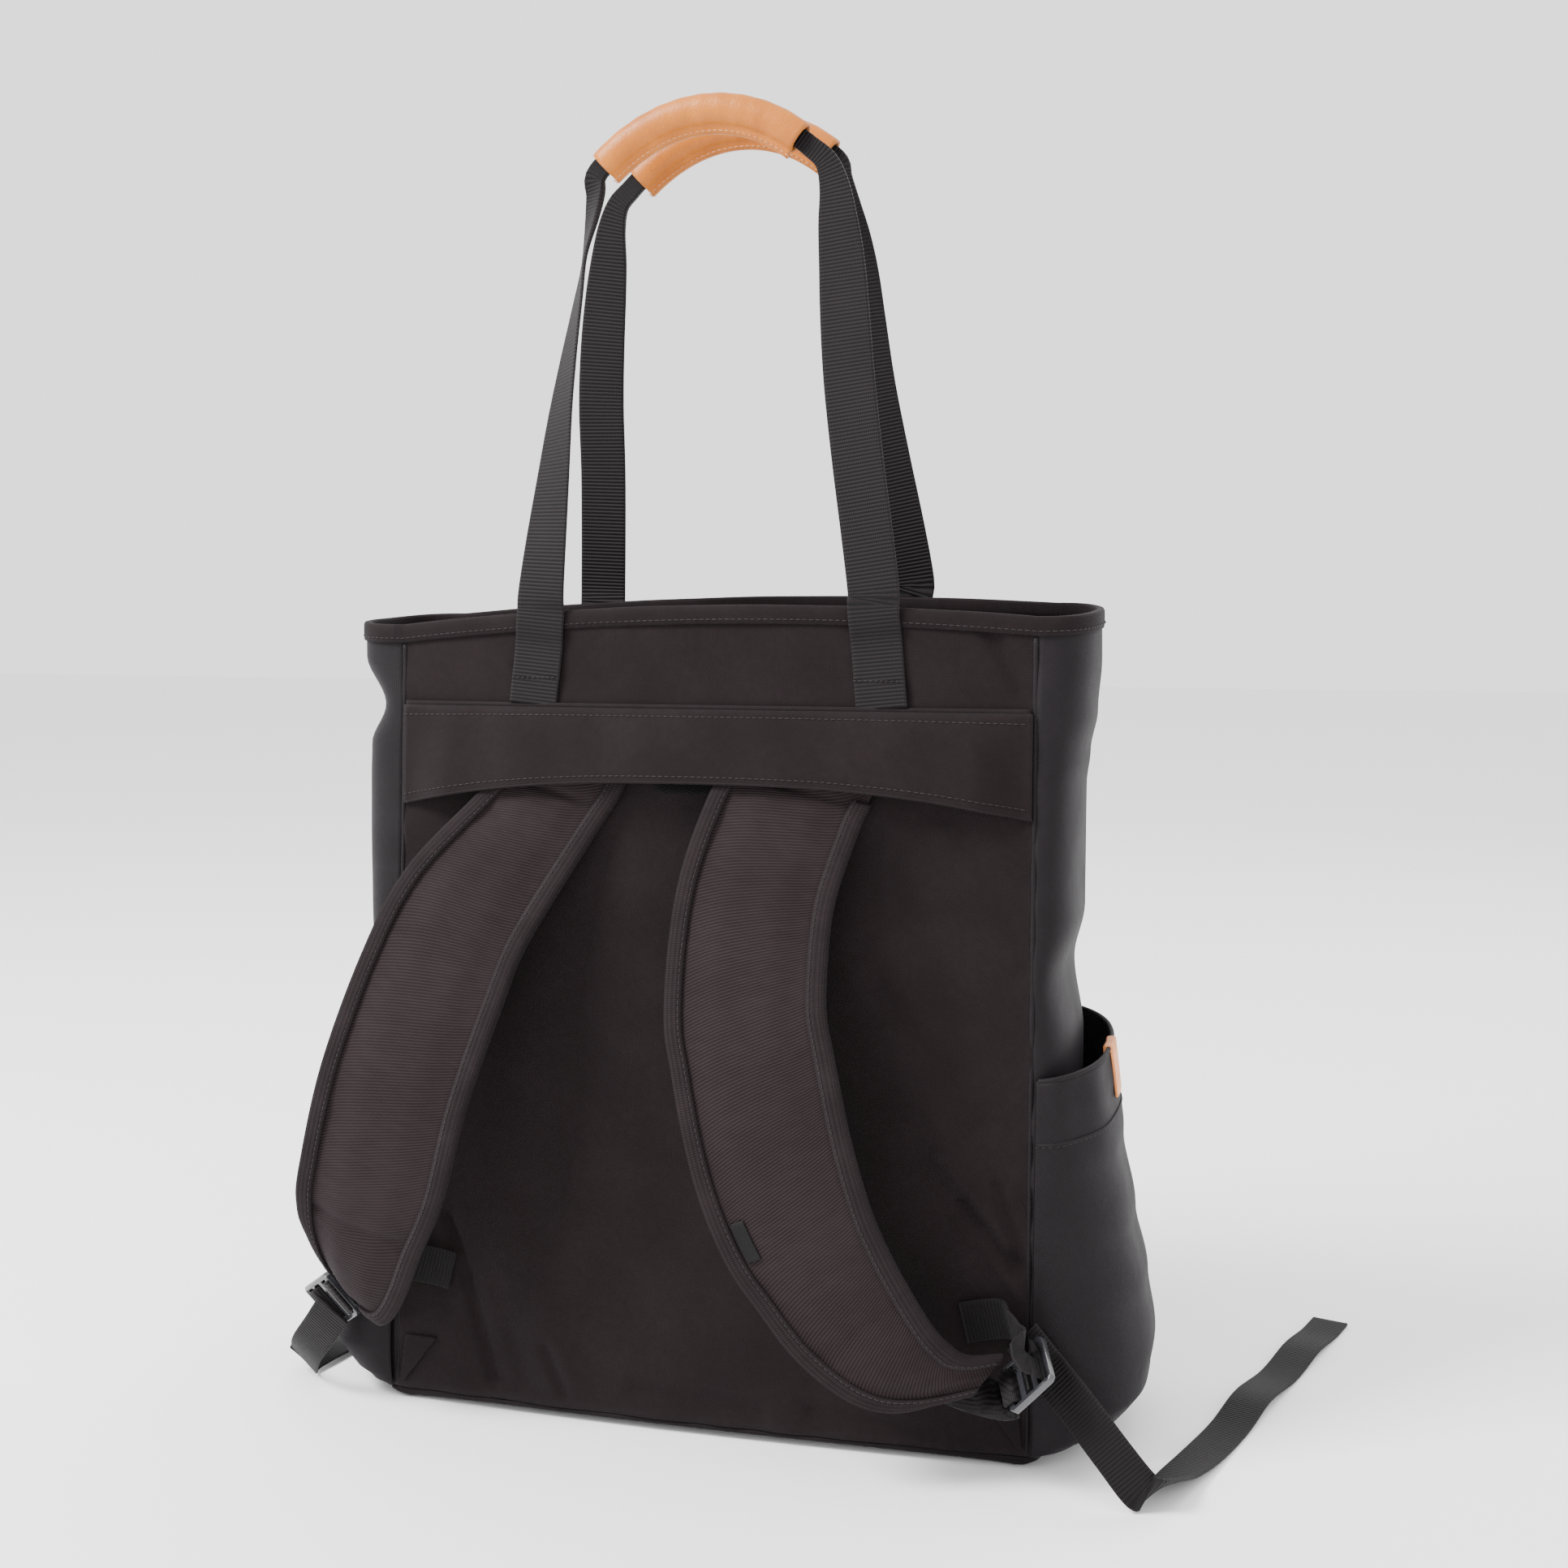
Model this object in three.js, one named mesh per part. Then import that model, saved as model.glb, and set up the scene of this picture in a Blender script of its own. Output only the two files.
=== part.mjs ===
// Convertible backpack: a soft black tote with two long webbing handles in leather grips,
// and two padded shoulder straps on its back panel. Millimetres, +Z up, X along the back
// panel, +Y from the back panel towards the front one, origin under the middle of the base.
import * as THREE from 'three';

// Bag body
const panelWidth = 320;
const baseFlare = 6;
const rimHeight = 405;
const baseDepth = 130;
const mouthDepth = 75;
const backLean = 19;
const gussetBulge = 30;
const panelCamber = 5;
const fabric = 1.6;
const clearance = 0.3;
const baseSeamHeight = 6;
const baseRoll = 9;
const basePad = 2;

// Hem round the mouth
const hemHeight = 9;
const hemFabric = 1;

// Yoke flap over the tops of the shoulder straps, and its hook-and-loop closure
const yokeSeamHeight = 357;
const yokeDrop = 35;
const yokeArc = 15;
const yokeLift = 9.9;
const yokeFabric = 1.5;
const closureWidth = 32;
const closureDrop = 6;
const closureFabric = 1.2;

// Side pockets
const pocketHeight = 185;
const pocketRise = 16;
const pocketBulge = 37;
const pocketFabric = 1.4;
const tabWidth = 18;
const tabLength = 24;
const tabLeather = 1.3;
const tabFit = 0.4;
const tabTurnIn = 10;
const pocketTrim = 0.02;
const pocketUp = [0, 0.012, 0.045, 0.12, 0.22, 0.36, 0.52, 0.68, 0.84, 1];

// Handles and grips
const webbing = 25;
const webbingThickness = 1.5;
const handleSpread = 88;
const handleRise = 241;
const handleSpacing = 36;
const gripLength = 108;
const gripArch = 21;
const gripTilt = 4;
const foldedWidth = 10;
const foldedThickness = 4;
const gripBoreHeight = 12.8;
const gripBoreWidth = 9.2;
const gripLeather = 1.6;
const gripFlange = 3.5;
const nearGripMiddle = -10;
const farGripMiddle = -4;
const nearHandleMiddle = -4.5;
const farHandleMiddle = -8;
const gripStand = 3;

// Shoulder straps
const strapHeight = 343;
const strapReach = panelWidth / 2 + 10;
const strapBow = 51;
const strapWidth = 78;
const strapPadding = 10;
const strapEdge = 3.4;
const bindingWidth = 9;
const bindingTape = 0.9;
const labelWidth = 7;
const labelThickness = 0.6;

// Ladder locks and adjusters
const adjusterWebbing = 20;
const lockWidth = 27;
const lockThickness = 3.5;
const lockBar = 3.2;
const lockSlot = 5;
const lockSlotWidth = 21.8;
const lockCorner = 2;
const rightLockAside = 6.1;
const rightLockStand = 25;
const rightLockBelow = 14.5;
const leftLockAside = 29.4;
const leftLockStand = 17.2;
const leftLockBelow = 15.8;
const loopFit = 0.8;
const loopStand = 3;
const strapEndDrop = 6.5;
const anchorHeight = 71;
const cornerTabHeight = 34;
const tailReach = 142;
const tailRun = 264;
const tailStand = 6;
const floorGap = 0.25;

// How far the rim stands above or below rimHeight at its corners and panel middles
const rimRise = { backLeft: -8, backMiddle: 2, backRight: -3, frontRight: 3, frontMiddle: 6, frontLeft: -3 };

// Bulge of the two gussets by height, both as shares
const gussetRows = [
  { rise: 0.0, right: 0.35, left: 0.4 },
  { rise: 0.06, right: 0.5, left: 0.62 },
  { rise: 0.3, right: 0.5, left: 0.7 },
  { rise: 0.48, right: 0.55, left: 0.85 },
  { rise: 0.57, right: 0.38, left: 0.9 },
  { rise: 0.64, right: 0.57, left: 0.92 },
  { rise: 0.79, right: 0.6, left: 0.97 },
  { rise: 0.83, right: 0.66, left: 0.95 },
  { rise: 0.88, right: 0.78, left: 0.62 },
  { rise: 0.94, right: 0.84, left: 1.05 },
  { rise: 1.0, right: 0.84, left: 1.05 },
];

// Broad dents of the back panel: ends as shares of its width and height, span and depth
const backDents = [
  { fromSide: 0.1, fromRise: 0.2, toSide: 0.2, toRise: 0.05, span: 15, depth: 3.0 },
  { fromSide: 0.17, fromRise: 0.24, toSide: 0.27, toRise: 0.06, span: 15, depth: -2.4 },
  { fromSide: 0.84, fromRise: 0.36, toSide: 0.95, toRise: 0.24, span: 12, depth: 3.0 },
  { fromSide: 0.78, fromRise: 0.3, toSide: 0.88, toRise: 0.2, span: 12, depth: -2.0 },
  { fromSide: 0.5, fromRise: 0.75, toSide: 0.5, toRise: 0.3, span: 60, depth: 3.5 },
  { fromSide: 0.78, fromRise: 0.72, toSide: 0.9, toRise: 0.5, span: 22, depth: 2.6 },
  { fromSide: 0.72, fromRise: 0.6, toSide: 0.84, toRise: 0.4, span: 20, depth: -2.2 },
  { fromSide: 0.25, fromRise: 0.96, toSide: 0.32, toRise: 0.9, span: 16, depth: 2.0 },
  { fromSide: 0.75, fromRise: 0.96, toSide: 0.7, toRise: 0.9, span: 16, depth: 2.0 },
];

// Soft dents of the front panel
const frontDents = [
  { fromSide: 0.4, fromRise: 0.66, toSide: 0.48, toRise: 0.35, span: 40, depth: 3.5 },
  { fromSide: 0.75, fromRise: 0.55, toSide: 0.62, toRise: 0.12, span: 30, depth: 3.0 },
  { fromSide: 0.12, fromRise: 0.3, toSide: 0.2, toRise: 0.06, span: 18, depth: 2.5 },
];

// Side pocket: height up to its lip and standing off from the gusset, as shares
const pocketRows = [
  { height: 0.0, bulge: 0.0 },
  { height: 0.012, bulge: 0.4 },
  { height: 0.045, bulge: 0.72 },
  { height: 0.12, bulge: 0.94 },
  { height: 0.22, bulge: 1.0 },
  { height: 0.38, bulge: 0.9 },
  { height: 0.55, bulge: 0.74 },
  { height: 0.75, bulge: 0.56 },
  { height: 0.9, bulge: 0.45 },
  { height: 1.0, bulge: 0.38 },
];

// Shoulder straps from the yoke to the lock. side, height, stand and width are shares of
// strapReach, strapHeight, strapBow and strapWidth; padding and edge are shares of theirs;
// slant and turn are degrees that the strap's width is tilted up and turned away.
const rightStrapRows = [
  { side: 0.335, height: 1.0, stand: 0.116, width: 0.9, padding: 0.22, edge: 0.5, slant: -3, turn: 0 },
  { side: 0.3, height: 0.945, stand: 0.145, width: 0.92, padding: 0.5, edge: 0.75, slant: -8, turn: 0 },
  { side: 0.25, height: 0.9, stand: 0.204, width: 0.95, padding: 0.85, edge: 1, slant: -17, turn: 1 },
  { side: 0.19, height: 0.785, stand: 0.463, width: 0.98, padding: 1, edge: 1, slant: -8, turn: 0 },
  { side: 0.19, height: 0.649, stand: 0.773, width: 1.0, padding: 1, edge: 1, slant: 6.7, turn: 1.5 },
  { side: 0.224, height: 0.57, stand: 0.896, width: 1.0, padding: 1, edge: 1, slant: 10, turn: 2.3 },
  { side: 0.288, height: 0.45, stand: 0.984, width: 1.0, padding: 1, edge: 1, slant: 22, turn: 3.2 },
  { side: 0.364, height: 0.351, stand: 1.0, width: 0.945, padding: 1, edge: 1, slant: 23.5, turn: 4.2 },
  { side: 0.44, height: 0.289, stand: 0.992, width: 0.87, padding: 1, edge: 1, slant: 28, turn: 5.8 },
  { side: 0.516, height: 0.234, stand: 0.945, width: 0.81, padding: 1, edge: 1, slant: 36, turn: 7 },
  { side: 0.612, height: 0.183, stand: 0.88, width: 0.69, padding: 0.9, edge: 1, slant: 42, turn: 9 },
  { side: 0.693, height: 0.159, stand: 0.79, width: 0.55, padding: 0.8, edge: 1, slant: 47, turn: 12 },
  { side: 0.776, height: 0.155, stand: 0.68, width: 0.36, padding: 0.65, edge: 0.9, slant: 53, turn: 16 },
  { side: 0.868, height: 0.16, stand: 0.56, width: 0.31, padding: 0.5, edge: 0.8, slant: 50, turn: 24 },
];
const leftStrapRows = [
  { side: -0.385, height: 1.0, stand: 0.112, width: 0.86, padding: 0.22, edge: 0.5, slant: 0, turn: 0 },
  { side: -0.42, height: 0.945, stand: 0.137, width: 0.84, padding: 0.5, edge: 0.75, slant: -10, turn: -2 },
  { side: -0.49, height: 0.89, stand: 0.172, width: 0.8, padding: 0.8, edge: 0.8, slant: -22, turn: -1 },
  { side: -0.67, height: 0.76, stand: 0.475, width: 0.95, padding: 1, edge: 1, slant: -28, turn: -5 },
  { side: -0.746, height: 0.657, stand: 0.737, width: 1.0, padding: 1, edge: 1, slant: -18, turn: -3 },
  { side: -0.84, height: 0.507, stand: 0.905, width: 1.0, padding: 1, edge: 1, slant: -13, turn: 0 },
  { side: -0.911, height: 0.368, stand: 0.89, width: 0.98, padding: 1, edge: 1, slant: -9, turn: 2 },
  { side: -0.965, height: 0.29, stand: 0.808, width: 0.87, padding: 0.95, edge: 1, slant: -22, turn: 4 },
  { side: -1.012, height: 0.213, stand: 0.66, width: 0.76, padding: 0.8, edge: 1, slant: -46, turn: 9 },
  { side: -1.035, height: 0.19, stand: 0.56, width: 0.46, padding: 0.5, edge: 0.8, slant: -50, turn: 9 },
];

// A handle's leg from the yoke seam to the grip: rise above the rim and spread from the
// middle as shares; fold is how far the webbing is folded, turn its twist in degrees.
const plainLegRows = [
  { rise: 0.0, spread: 0.945, fold: 0, turn: 0 },
  { rise: 0.25, spread: 0.875, fold: 0, turn: 0 },
  { rise: 0.5, spread: 0.815, fold: 0, turn: 0 },
  { rise: 0.7, spread: 0.768, fold: 0.12, turn: 0 },
  { rise: 0.84, spread: 0.725, fold: 0.4, turn: 0 },
  { rise: 0.95, spread: 0.68, fold: 0.85, turn: 0 },
];
const twistedLegRows = [
  { rise: 0.0, spread: 0.945, fold: 0, turn: -8 },
  { rise: 0.22, spread: 0.885, fold: 0, turn: -28 },
  { rise: 0.46, spread: 0.825, fold: 0, turn: -46 },
  { rise: 0.66, spread: 0.77, fold: 0.03, turn: -58 },
  { rise: 0.82, spread: 0.725, fold: 0.2, turn: -66 },
  { rise: 0.94, spread: 0.68, fold: 0.8, turn: -40 },
];

// Where each adjuster's free end lies after the lock: out, run and height as shares of
// tailReach, tailRun and anchorHeight, with the direction across the webbing.
const rightTailRows = [
  { out: 0.0, run: 0.008, height: 0.93, across: [0.72, 0, 0.69] },
  { out: 0.085, run: -0.014, height: 0.77, across: [0.74, 0, 0.67] },
  { out: 0.204, run: -0.048, height: 0.557, across: [0.7, 0, 0.71] },
  { out: 0.317, run: -0.078, height: 0.336, across: [0.69, 0, 0.72] },
  { out: 0.405, run: -0.095, height: 0.16, across: [0.68, 0.1, 0.73] },
  { out: 0.437, run: -0.088, height: 0.126, across: [0.7, 0.08, 0.71] },
  { out: 0.458, run: -0.055, height: 0.106, across: [0.8, -0.08, 0.6] },
  { out: 0.502, run: 0.03, height: 0.052, across: [0.93, -0.25, 0.2] },
  { out: 0.58, run: 0.15, height: 0.022, across: [0.95, -0.3, 0] },
  { out: 0.66, run: 0.29, height: 0.013, across: [0.95, -0.3, 0] },
  { out: 0.732, run: 0.42, height: 0.06, across: [0.95, -0.3, 0] },
  { out: 0.82, run: 0.57, height: 0.011, across: [0.95, -0.3, 0] },
  { out: 0.9, run: 0.71, height: 0.04, across: [0.95, -0.3, 0] },
  { out: 0.965, run: 0.82, height: 0.011, across: [0.95, -0.3, 0] },
  { out: 1.01, run: 0.9, height: 0.011, across: [0.95, -0.3, 0] },
];
const leftTailRows = [
  { out: -0.19, run: -0.06, height: 0.73, across: [0.68, 0.1, -0.73] },
  { out: -0.265, run: -0.038, height: 0.54, across: [0.72, 0.05, -0.69] },
  { out: -0.36, run: 0.0, height: 0.32, across: [0.76, 0.0, -0.65] },
  { out: -0.435, run: 0.065, height: 0.135, across: [0.76, -0.06, -0.65] },
  { out: -0.46, run: 0.095, height: 0.11, across: [0.78, 0.0, -0.62] },
  { out: -0.45, run: 0.15, height: 0.093, across: [0.88, 0.0, -0.46] },
  { out: -0.43, run: 0.26, height: 0.032, across: [0.98, 0.02, -0.08] },
  { out: -0.43, run: 0.4, height: 0.014, across: [1, 0.03, 0] },
  { out: -0.44, run: 0.55, height: 0.05, across: [1, 0.03, 0] },
  { out: -0.45, run: 0.72, height: 0.011, across: [1, 0.02, 0] },
  { out: -0.46, run: 0.86, height: 0.035, across: [1, 0.02, 0] },
  { out: -0.46, run: 0.98, height: 0.011, across: [1, 0, 0] },
];

// Faces: how finely each soft piece is cut
const backColumns = 16;
const bodyUp = [0, 0.04, 0.1, 0.17, 0.24, 0.31, 0.38, 0.46, 0.54, 0.6, 0.66, 0.73, 0.79, 0.84, 0.88, 0.93, 0.97, 1];
const frontColumns = 10;
const gussetColumns = 10;
const strapSteps = 20;
const tailSteps = 40;
const anchorSteps = 28;
const loopSteps = 20;
const handleSteps = 44;

// Colours
const cloth = 0x2b2627;
const clothSide = 0x2d292c;
const strapCloth = 0x302a2b;
const tape = 0x1d1a1b;
const webbingBlack = 0x211d1e;
const leather = 0xdb8a52;
const plastic = 0x2a2a2d;

function soft(color, roughness = 0.85) {
  return new THREE.MeshStandardMaterial({ color, roughness, metalness: 0 });
}

function piece(name, geometry, material) {
  const mesh = new THREE.Mesh(geometry, material);
  mesh.name = name;
  return mesh;
}

function mix(from, to, share) {
  return from + (to - from) * share;
}

function ease(share) {
  const t = Math.min(1, Math.max(0, share));
  return t * t * (3 - 2 * t);
}

function stations(count) {
  return Array.from({ length: count + 1 }, (_, i) => i / count);
}

// Value of a table's column between its rows, eased from row to row
function between(rows, along, column, at) {
  if (at <= rows[0][along]) return rows[0][column];
  for (let i = 1; i < rows.length; i += 1) {
    const low = rows[i - 1];
    const high = rows[i];
    if (at <= high[along]) {
      return mix(low[column], high[column], ease((at - low[along]) / (high[along] - low[along])));
    }
  }
  return rows[rows.length - 1][column];
}

// Smooth value through evenly numbered values
function smooth(values, at) {
  const last = values.length - 1;
  const scaled = Math.min(0.999999, Math.max(0, at)) * last;
  const i = Math.floor(scaled);
  const t = scaled - i;
  const b = values[i];
  const c = values[i + 1];
  const a = i > 0 ? values[i - 1] : 2 * b - c;
  const d = i + 2 <= last ? values[i + 2] : 2 * c - b;
  return b + 0.5 * t * (c - a + t * (2 * a - 5 * b + 4 * c - d + t * (3 * (b - c) + d - a)));
}

function smoothVector(vectors, at) {
  return new THREE.Vector3(
    smooth(vectors.map((v) => v.x), at),
    smooth(vectors.map((v) => v.y), at),
    smooth(vectors.map((v) => v.z), at),
  );
}

// Closed solid from points and triangles, turned so that its faces point out
function solid(points, triangles) {
  let volume = 0;
  for (const [i, j, k] of triangles) volume += points[i].dot(points[j].clone().cross(points[k]));
  const index = triangles.flatMap(([i, j, k]) => (volume < 0 ? [i, k, j] : [i, j, k]));
  const geometry = new THREE.BufferGeometry();
  geometry.setAttribute('position', new THREE.Float32BufferAttribute(points.flatMap((p) => p.toArray()), 3));
  geometry.setIndex(index);
  geometry.computeVertexNormals();
  return geometry;
}

// A wall of even thickness behind a surface given over across and up stations
function sheet(surface, across, up, thickness) {
  const step = 1e-3;
  const outer = [];
  const inner = [];
  for (const v of up) {
    for (const u of across) {
      const here = surface(u, v);
      const alongU = surface(Math.min(1, u + step), v).sub(surface(Math.max(0, u - step), v));
      const alongV = surface(u, Math.min(1, v + step)).sub(surface(u, Math.max(0, v - step)));
      const normal = alongU.cross(alongV).normalize();
      outer.push(here);
      inner.push(here.clone().addScaledVector(normal, -thickness));
    }
  }
  return wall(outer, inner, across.length, up.length);
}

// Closes the space between two grids of points
function wall(front, back, columns, rows) {
  const points = [...front, ...back];
  const shift = front.length;
  const at = (i, j) => j * columns + i;
  const triangles = [];
  const quad = (a, b, c, d) => triangles.push([a, b, c], [a, c, d]);
  for (let j = 0; j + 1 < rows; j += 1) {
    for (let i = 0; i + 1 < columns; i += 1) {
      quad(at(i, j), at(i + 1, j), at(i + 1, j + 1), at(i, j + 1));
      quad(shift + at(i, j), shift + at(i, j + 1), shift + at(i + 1, j + 1), shift + at(i + 1, j));
    }
  }
  for (let i = 0; i + 1 < columns; i += 1) {
    quad(at(i, 0), shift + at(i, 0), shift + at(i + 1, 0), at(i + 1, 0));
    quad(at(i, rows - 1), at(i + 1, rows - 1), shift + at(i + 1, rows - 1), shift + at(i, rows - 1));
  }
  for (let j = 0; j + 1 < rows; j += 1) {
    quad(at(0, j), at(0, j + 1), shift + at(0, j + 1), shift + at(0, j));
    quad(at(columns - 1, j), shift + at(columns - 1, j), shift + at(columns - 1, j + 1), at(columns - 1, j + 1));
  }
  return solid(points, triangles);
}

// Solid through closed sections; outline is the section drawn flat, for its two end caps
function loft(sections, outline) {
  const size = outline.length;
  const points = sections.flat();
  const triangles = ring(sections.length - 1, size, sections.length);
  const caps = THREE.ShapeUtils.triangulateShape(outline.map(([x, y]) => new THREE.Vector2(x, y)), []);
  const turn = THREE.ShapeUtils.isClockWise(outline.map(([x, y]) => new THREE.Vector2(x, y))) ? -1 : 1;
  const end = (sections.length - 1) * size;
  for (const [a, b, c] of caps) {
    triangles.push(turn > 0 ? [a, c, b] : [a, b, c]);
    triangles.push(turn > 0 ? [end + a, end + b, end + c] : [end + a, end + c, end + b]);
  }
  return solid(points, triangles);
}

// Solid through closed sections that themselves come round in a circle
function hoop(sections) {
  return solid(sections.flat(), ring(sections.length, sections[0].length, sections.length));
}

function ring(bands, size, count) {
  const triangles = [];
  for (let s = 0; s < bands; s += 1) {
    const next = (s + 1) % count;
    for (let k = 0; k < size; k += 1) {
      const a = s * size + k;
      const b = s * size + ((k + 1) % size);
      const c = next * size + ((k + 1) % size);
      const d = next * size + k;
      triangles.push([a, b, c], [a, c, d]);
    }
  }
  return triangles;
}

// Flat webbing along rows of { point, across, width, thickness }
function ribbon(rows, steps) {
  const outline = [[-0.5, -0.5], [0.5, -0.5], [0.5, 0.5], [-0.5, 0.5]];
  const points = rows.map((row) => row.point);
  const crossings = rows.map((row) => row.across.clone());
  for (let i = 1; i < crossings.length; i += 1) {
    if (crossings[i].dot(crossings[i - 1]) < 0) crossings[i].negate();
  }
  const sections = stations(steps).map((at) => {
    const centre = smoothVector(points, at);
    const tangent = smoothVector(points, at + 0.004).sub(smoothVector(points, at - 0.004)).normalize();
    const across = smoothVector(crossings, at);
    across.addScaledVector(tangent, -across.dot(tangent)).normalize();
    const normal = tangent.clone().cross(across);
    const width = smooth(rows.map((row) => row.width), at);
    const thickness = smooth(rows.map((row) => row.thickness), at);
    return outline.map(([s, n]) => centre.clone()
      .addScaledVector(across, s * width)
      .addScaledVector(normal, n * thickness));
  });
  return loft(sections, outline);
}

// Height of the rim at a place round the mouth
function rimTop(side, t) {
  const crown = 1 - (2 * t - 1) ** 2;
  const { backLeft, backMiddle, backRight, frontRight, frontMiddle, frontLeft } = rimRise;
  if (side === 'back') {
    return rimHeight + mix(backLeft, backRight, t) + crown * (backMiddle - (backLeft + backRight) / 2);
  }
  if (side === 'front') {
    return rimHeight + mix(frontRight, frontLeft, t) + crown * (frontMiddle - (frontRight + frontLeft) / 2);
  }
  if (side === 'right') return rimHeight + mix(backRight, frontRight, ease(t));
  return rimHeight + mix(frontLeft, backLeft, ease(t));
}

// Dents of a panel at a place, fading out towards its seams
function dentDepth(dents, t, rise) {
  const fade = ease(t / 0.1) * ease((1 - t) / 0.1) * ease(rise / 0.05);
  let depth = 0;
  for (const dent of dents) {
    const runX = (dent.toSide - dent.fromSide) * panelWidth;
    const runZ = (dent.toRise - dent.fromRise) * rimHeight;
    const x = (t - dent.fromSide) * panelWidth;
    const z = (rise - dent.fromRise) * rimHeight;
    const length = Math.hypot(runX, runZ);
    const along = (x * runX + z * runZ) / length;
    const aside = Math.abs(x * runZ - z * runX) / length;
    const past = Math.max(0, -along, along - length);
    depth += dent.depth * Math.exp(-((aside ** 2 + past ** 2) / dent.span ** 2));
  }
  return depth * fade;
}

// Outline of the bag at a height: t runs anticlockwise along each side from above
function plan(side, t, height) {
  const rise = height / rimHeight;
  const near = -baseDepth / 2 + backLean * rise;
  const far = baseDepth / 2 - (baseDepth - mouthDepth - backLean) * rise;
  const half = (panelWidth + baseFlare * (1 - rise)) / 2;
  const camber = panelCamber * (1 - (2 * t - 1) ** 2);
  if (side === 'back') {
    const yokeShade = ease((yokeSeamHeight - yokeDrop - height) / (2 * yokeArc));
    const overYoke = ease((height - yokeSeamHeight) / yokeArc);
    const dent = dentDepth(backDents, t, rise) * Math.max(yokeShade, overYoke * 0.5);
    return new THREE.Vector2(half * (2 * t - 1), near - camber + dent);
  }
  if (side === 'front') {
    return new THREE.Vector2(half * (1 - 2 * t), far + camber - dentDepth(frontDents, t, rise));
  }
  const angle = Math.PI * (t - 0.5);
  const squareness = 0.74;
  const bulge = gussetBulge * between(gussetRows, 'rise', side, rise);
  const out = half + bulge * Math.max(0, Math.cos(angle)) ** squareness;
  const deep = ((far - near) / 2) * Math.sign(Math.sin(angle)) * Math.abs(Math.sin(angle)) ** squareness;
  const middle = (near + far) / 2;
  return side === 'right' ? new THREE.Vector2(out, middle + deep) : new THREE.Vector2(-out, middle - deep);
}

// Point of the bag's surface at a height, moved out along the outline's normal
function shell(side, t, height, out = 0) {
  const here = plan(side, t, height);
  const run = plan(side, Math.min(1, t + 2e-3), height).sub(plan(side, Math.max(0, t - 2e-3), height));
  run.normalize();
  return new THREE.Vector3(here.x + run.y * out, here.y - run.x * out, height);
}

function heightAt(side, t, v) {
  return mix(baseSeamHeight, rimTop(side, t) - hemFabric - clearance, v);
}

// One of the four walls, trimmed by half a seam gap at each end
function bodyWall(name, side, columns, color) {
  const trim = clearance / 2 / (side === 'back' || side === 'front' ? panelWidth : baseDepth);
  const surface = (u, v) => {
    const t = mix(trim, 1 - trim, u);
    return shell(side, t, heightAt(side, t, v));
  };
  return piece(name, sheet(surface, stations(columns), bodyUp, fabric), soft(color));
}

// Base: flat in the middle, rolled up to the seam all round
function basePanel() {
  const across = [0, 0.015, 0.035, 0.08, 0.2, 0.42, 0.7, 0.92, 0.965, 0.985, 1];
  const deep = [0, 0.04, 0.09, 0.3, 0.74, 0.91, 0.96, 1];
  const edge = baseSeamHeight - clearance - basePad;
  const surface = (u, v) => {
    const nearSide = plan('back', u, baseSeamHeight);
    const farSide = plan('front', 1 - u, baseSeamHeight);
    const sideName = u < 0.5 ? 'left' : 'right';
    const sideT = u < 0.5 ? 1 - v : v;
    const corner = plan(sideName, sideT, baseSeamHeight);
    const half = (panelWidth + baseFlare * (1 - baseSeamHeight / rimHeight)) / 2;
    const reach = Math.abs(corner.x) - half;
    const outward = Math.abs(2 * u - 1);
    const x = nearSide.x + Math.sign(nearSide.x) * reach * outward ** 6;
    const share = mix(v, (Math.abs(corner.y - nearSide.y)) / (farSide.y - nearSide.y), outward ** 6);
    const y = mix(nearSide.y, farSide.y, share);
    const inset = Math.min((half + reach) * (1 - outward), (v < 0.5 ? v : 1 - v) * baseDepth);
    const roll = Math.max(0, 1 - inset / baseRoll);
    return new THREE.Vector3(x, y, edge * roll ** 2);
  };
  const columns = across.length;
  const rows = deep.length;
  const under = [];
  const over = [];
  for (const v of deep) {
    for (const u of across) {
      const point = surface(u, v);
      under.push(point);
      over.push(new THREE.Vector3(point.x, point.y, point.z + basePad));
    }
  }
  return piece('base_panel', wall(under, over, columns, rows), soft(cloth));
}

// Hem: fabric folded over the rim, down both faces
function rimHem() {
  const sides = [['back', backColumns], ['right', gussetColumns], ['front', frontColumns], ['left', gussetColumns]];
  const innerFace = -fabric - clearance;
  const profile = [
    [clearance + hemFabric, -hemHeight], [clearance + hemFabric, 0],
    [innerFace - hemFabric, 0], [innerFace - hemFabric, -hemHeight],
    [innerFace, -hemHeight], [innerFace, -hemFabric],
    [clearance, -hemFabric], [clearance, -hemHeight],
  ];
  const sections = sides.flatMap(([side, columns]) => stations(columns).slice(0, -1).map((t) => {
    const top = rimTop(side, t);
    return profile.map(([out, drop]) => shell(side, t, top + drop, out));
  }));
  return piece('rim_hem', hoop(sections), soft(cloth));
}

function yokeEdge(u) {
  return yokeSeamHeight - yokeDrop - yokeArc * Math.abs(2 * u - 1) ** 2.6;
}

// Yoke flap: sewn along its top, standing off over the strap tops at its lower edge
function yokeBand() {
  const surface = (u, v) => {
    const height = mix(yokeEdge(u), yokeSeamHeight, v);
    const lift = yokeLift * (1 - v) ** 0.6 * ease(Math.min(u, 1 - u) / 0.09);
    return shell('back', mix(0.004, 0.996, u), height, clearance + yokeFabric + lift);
  };
  return piece('yoke_band', sheet(surface, stations(backColumns), stations(4), yokeFabric), soft(cloth));
}

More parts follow.
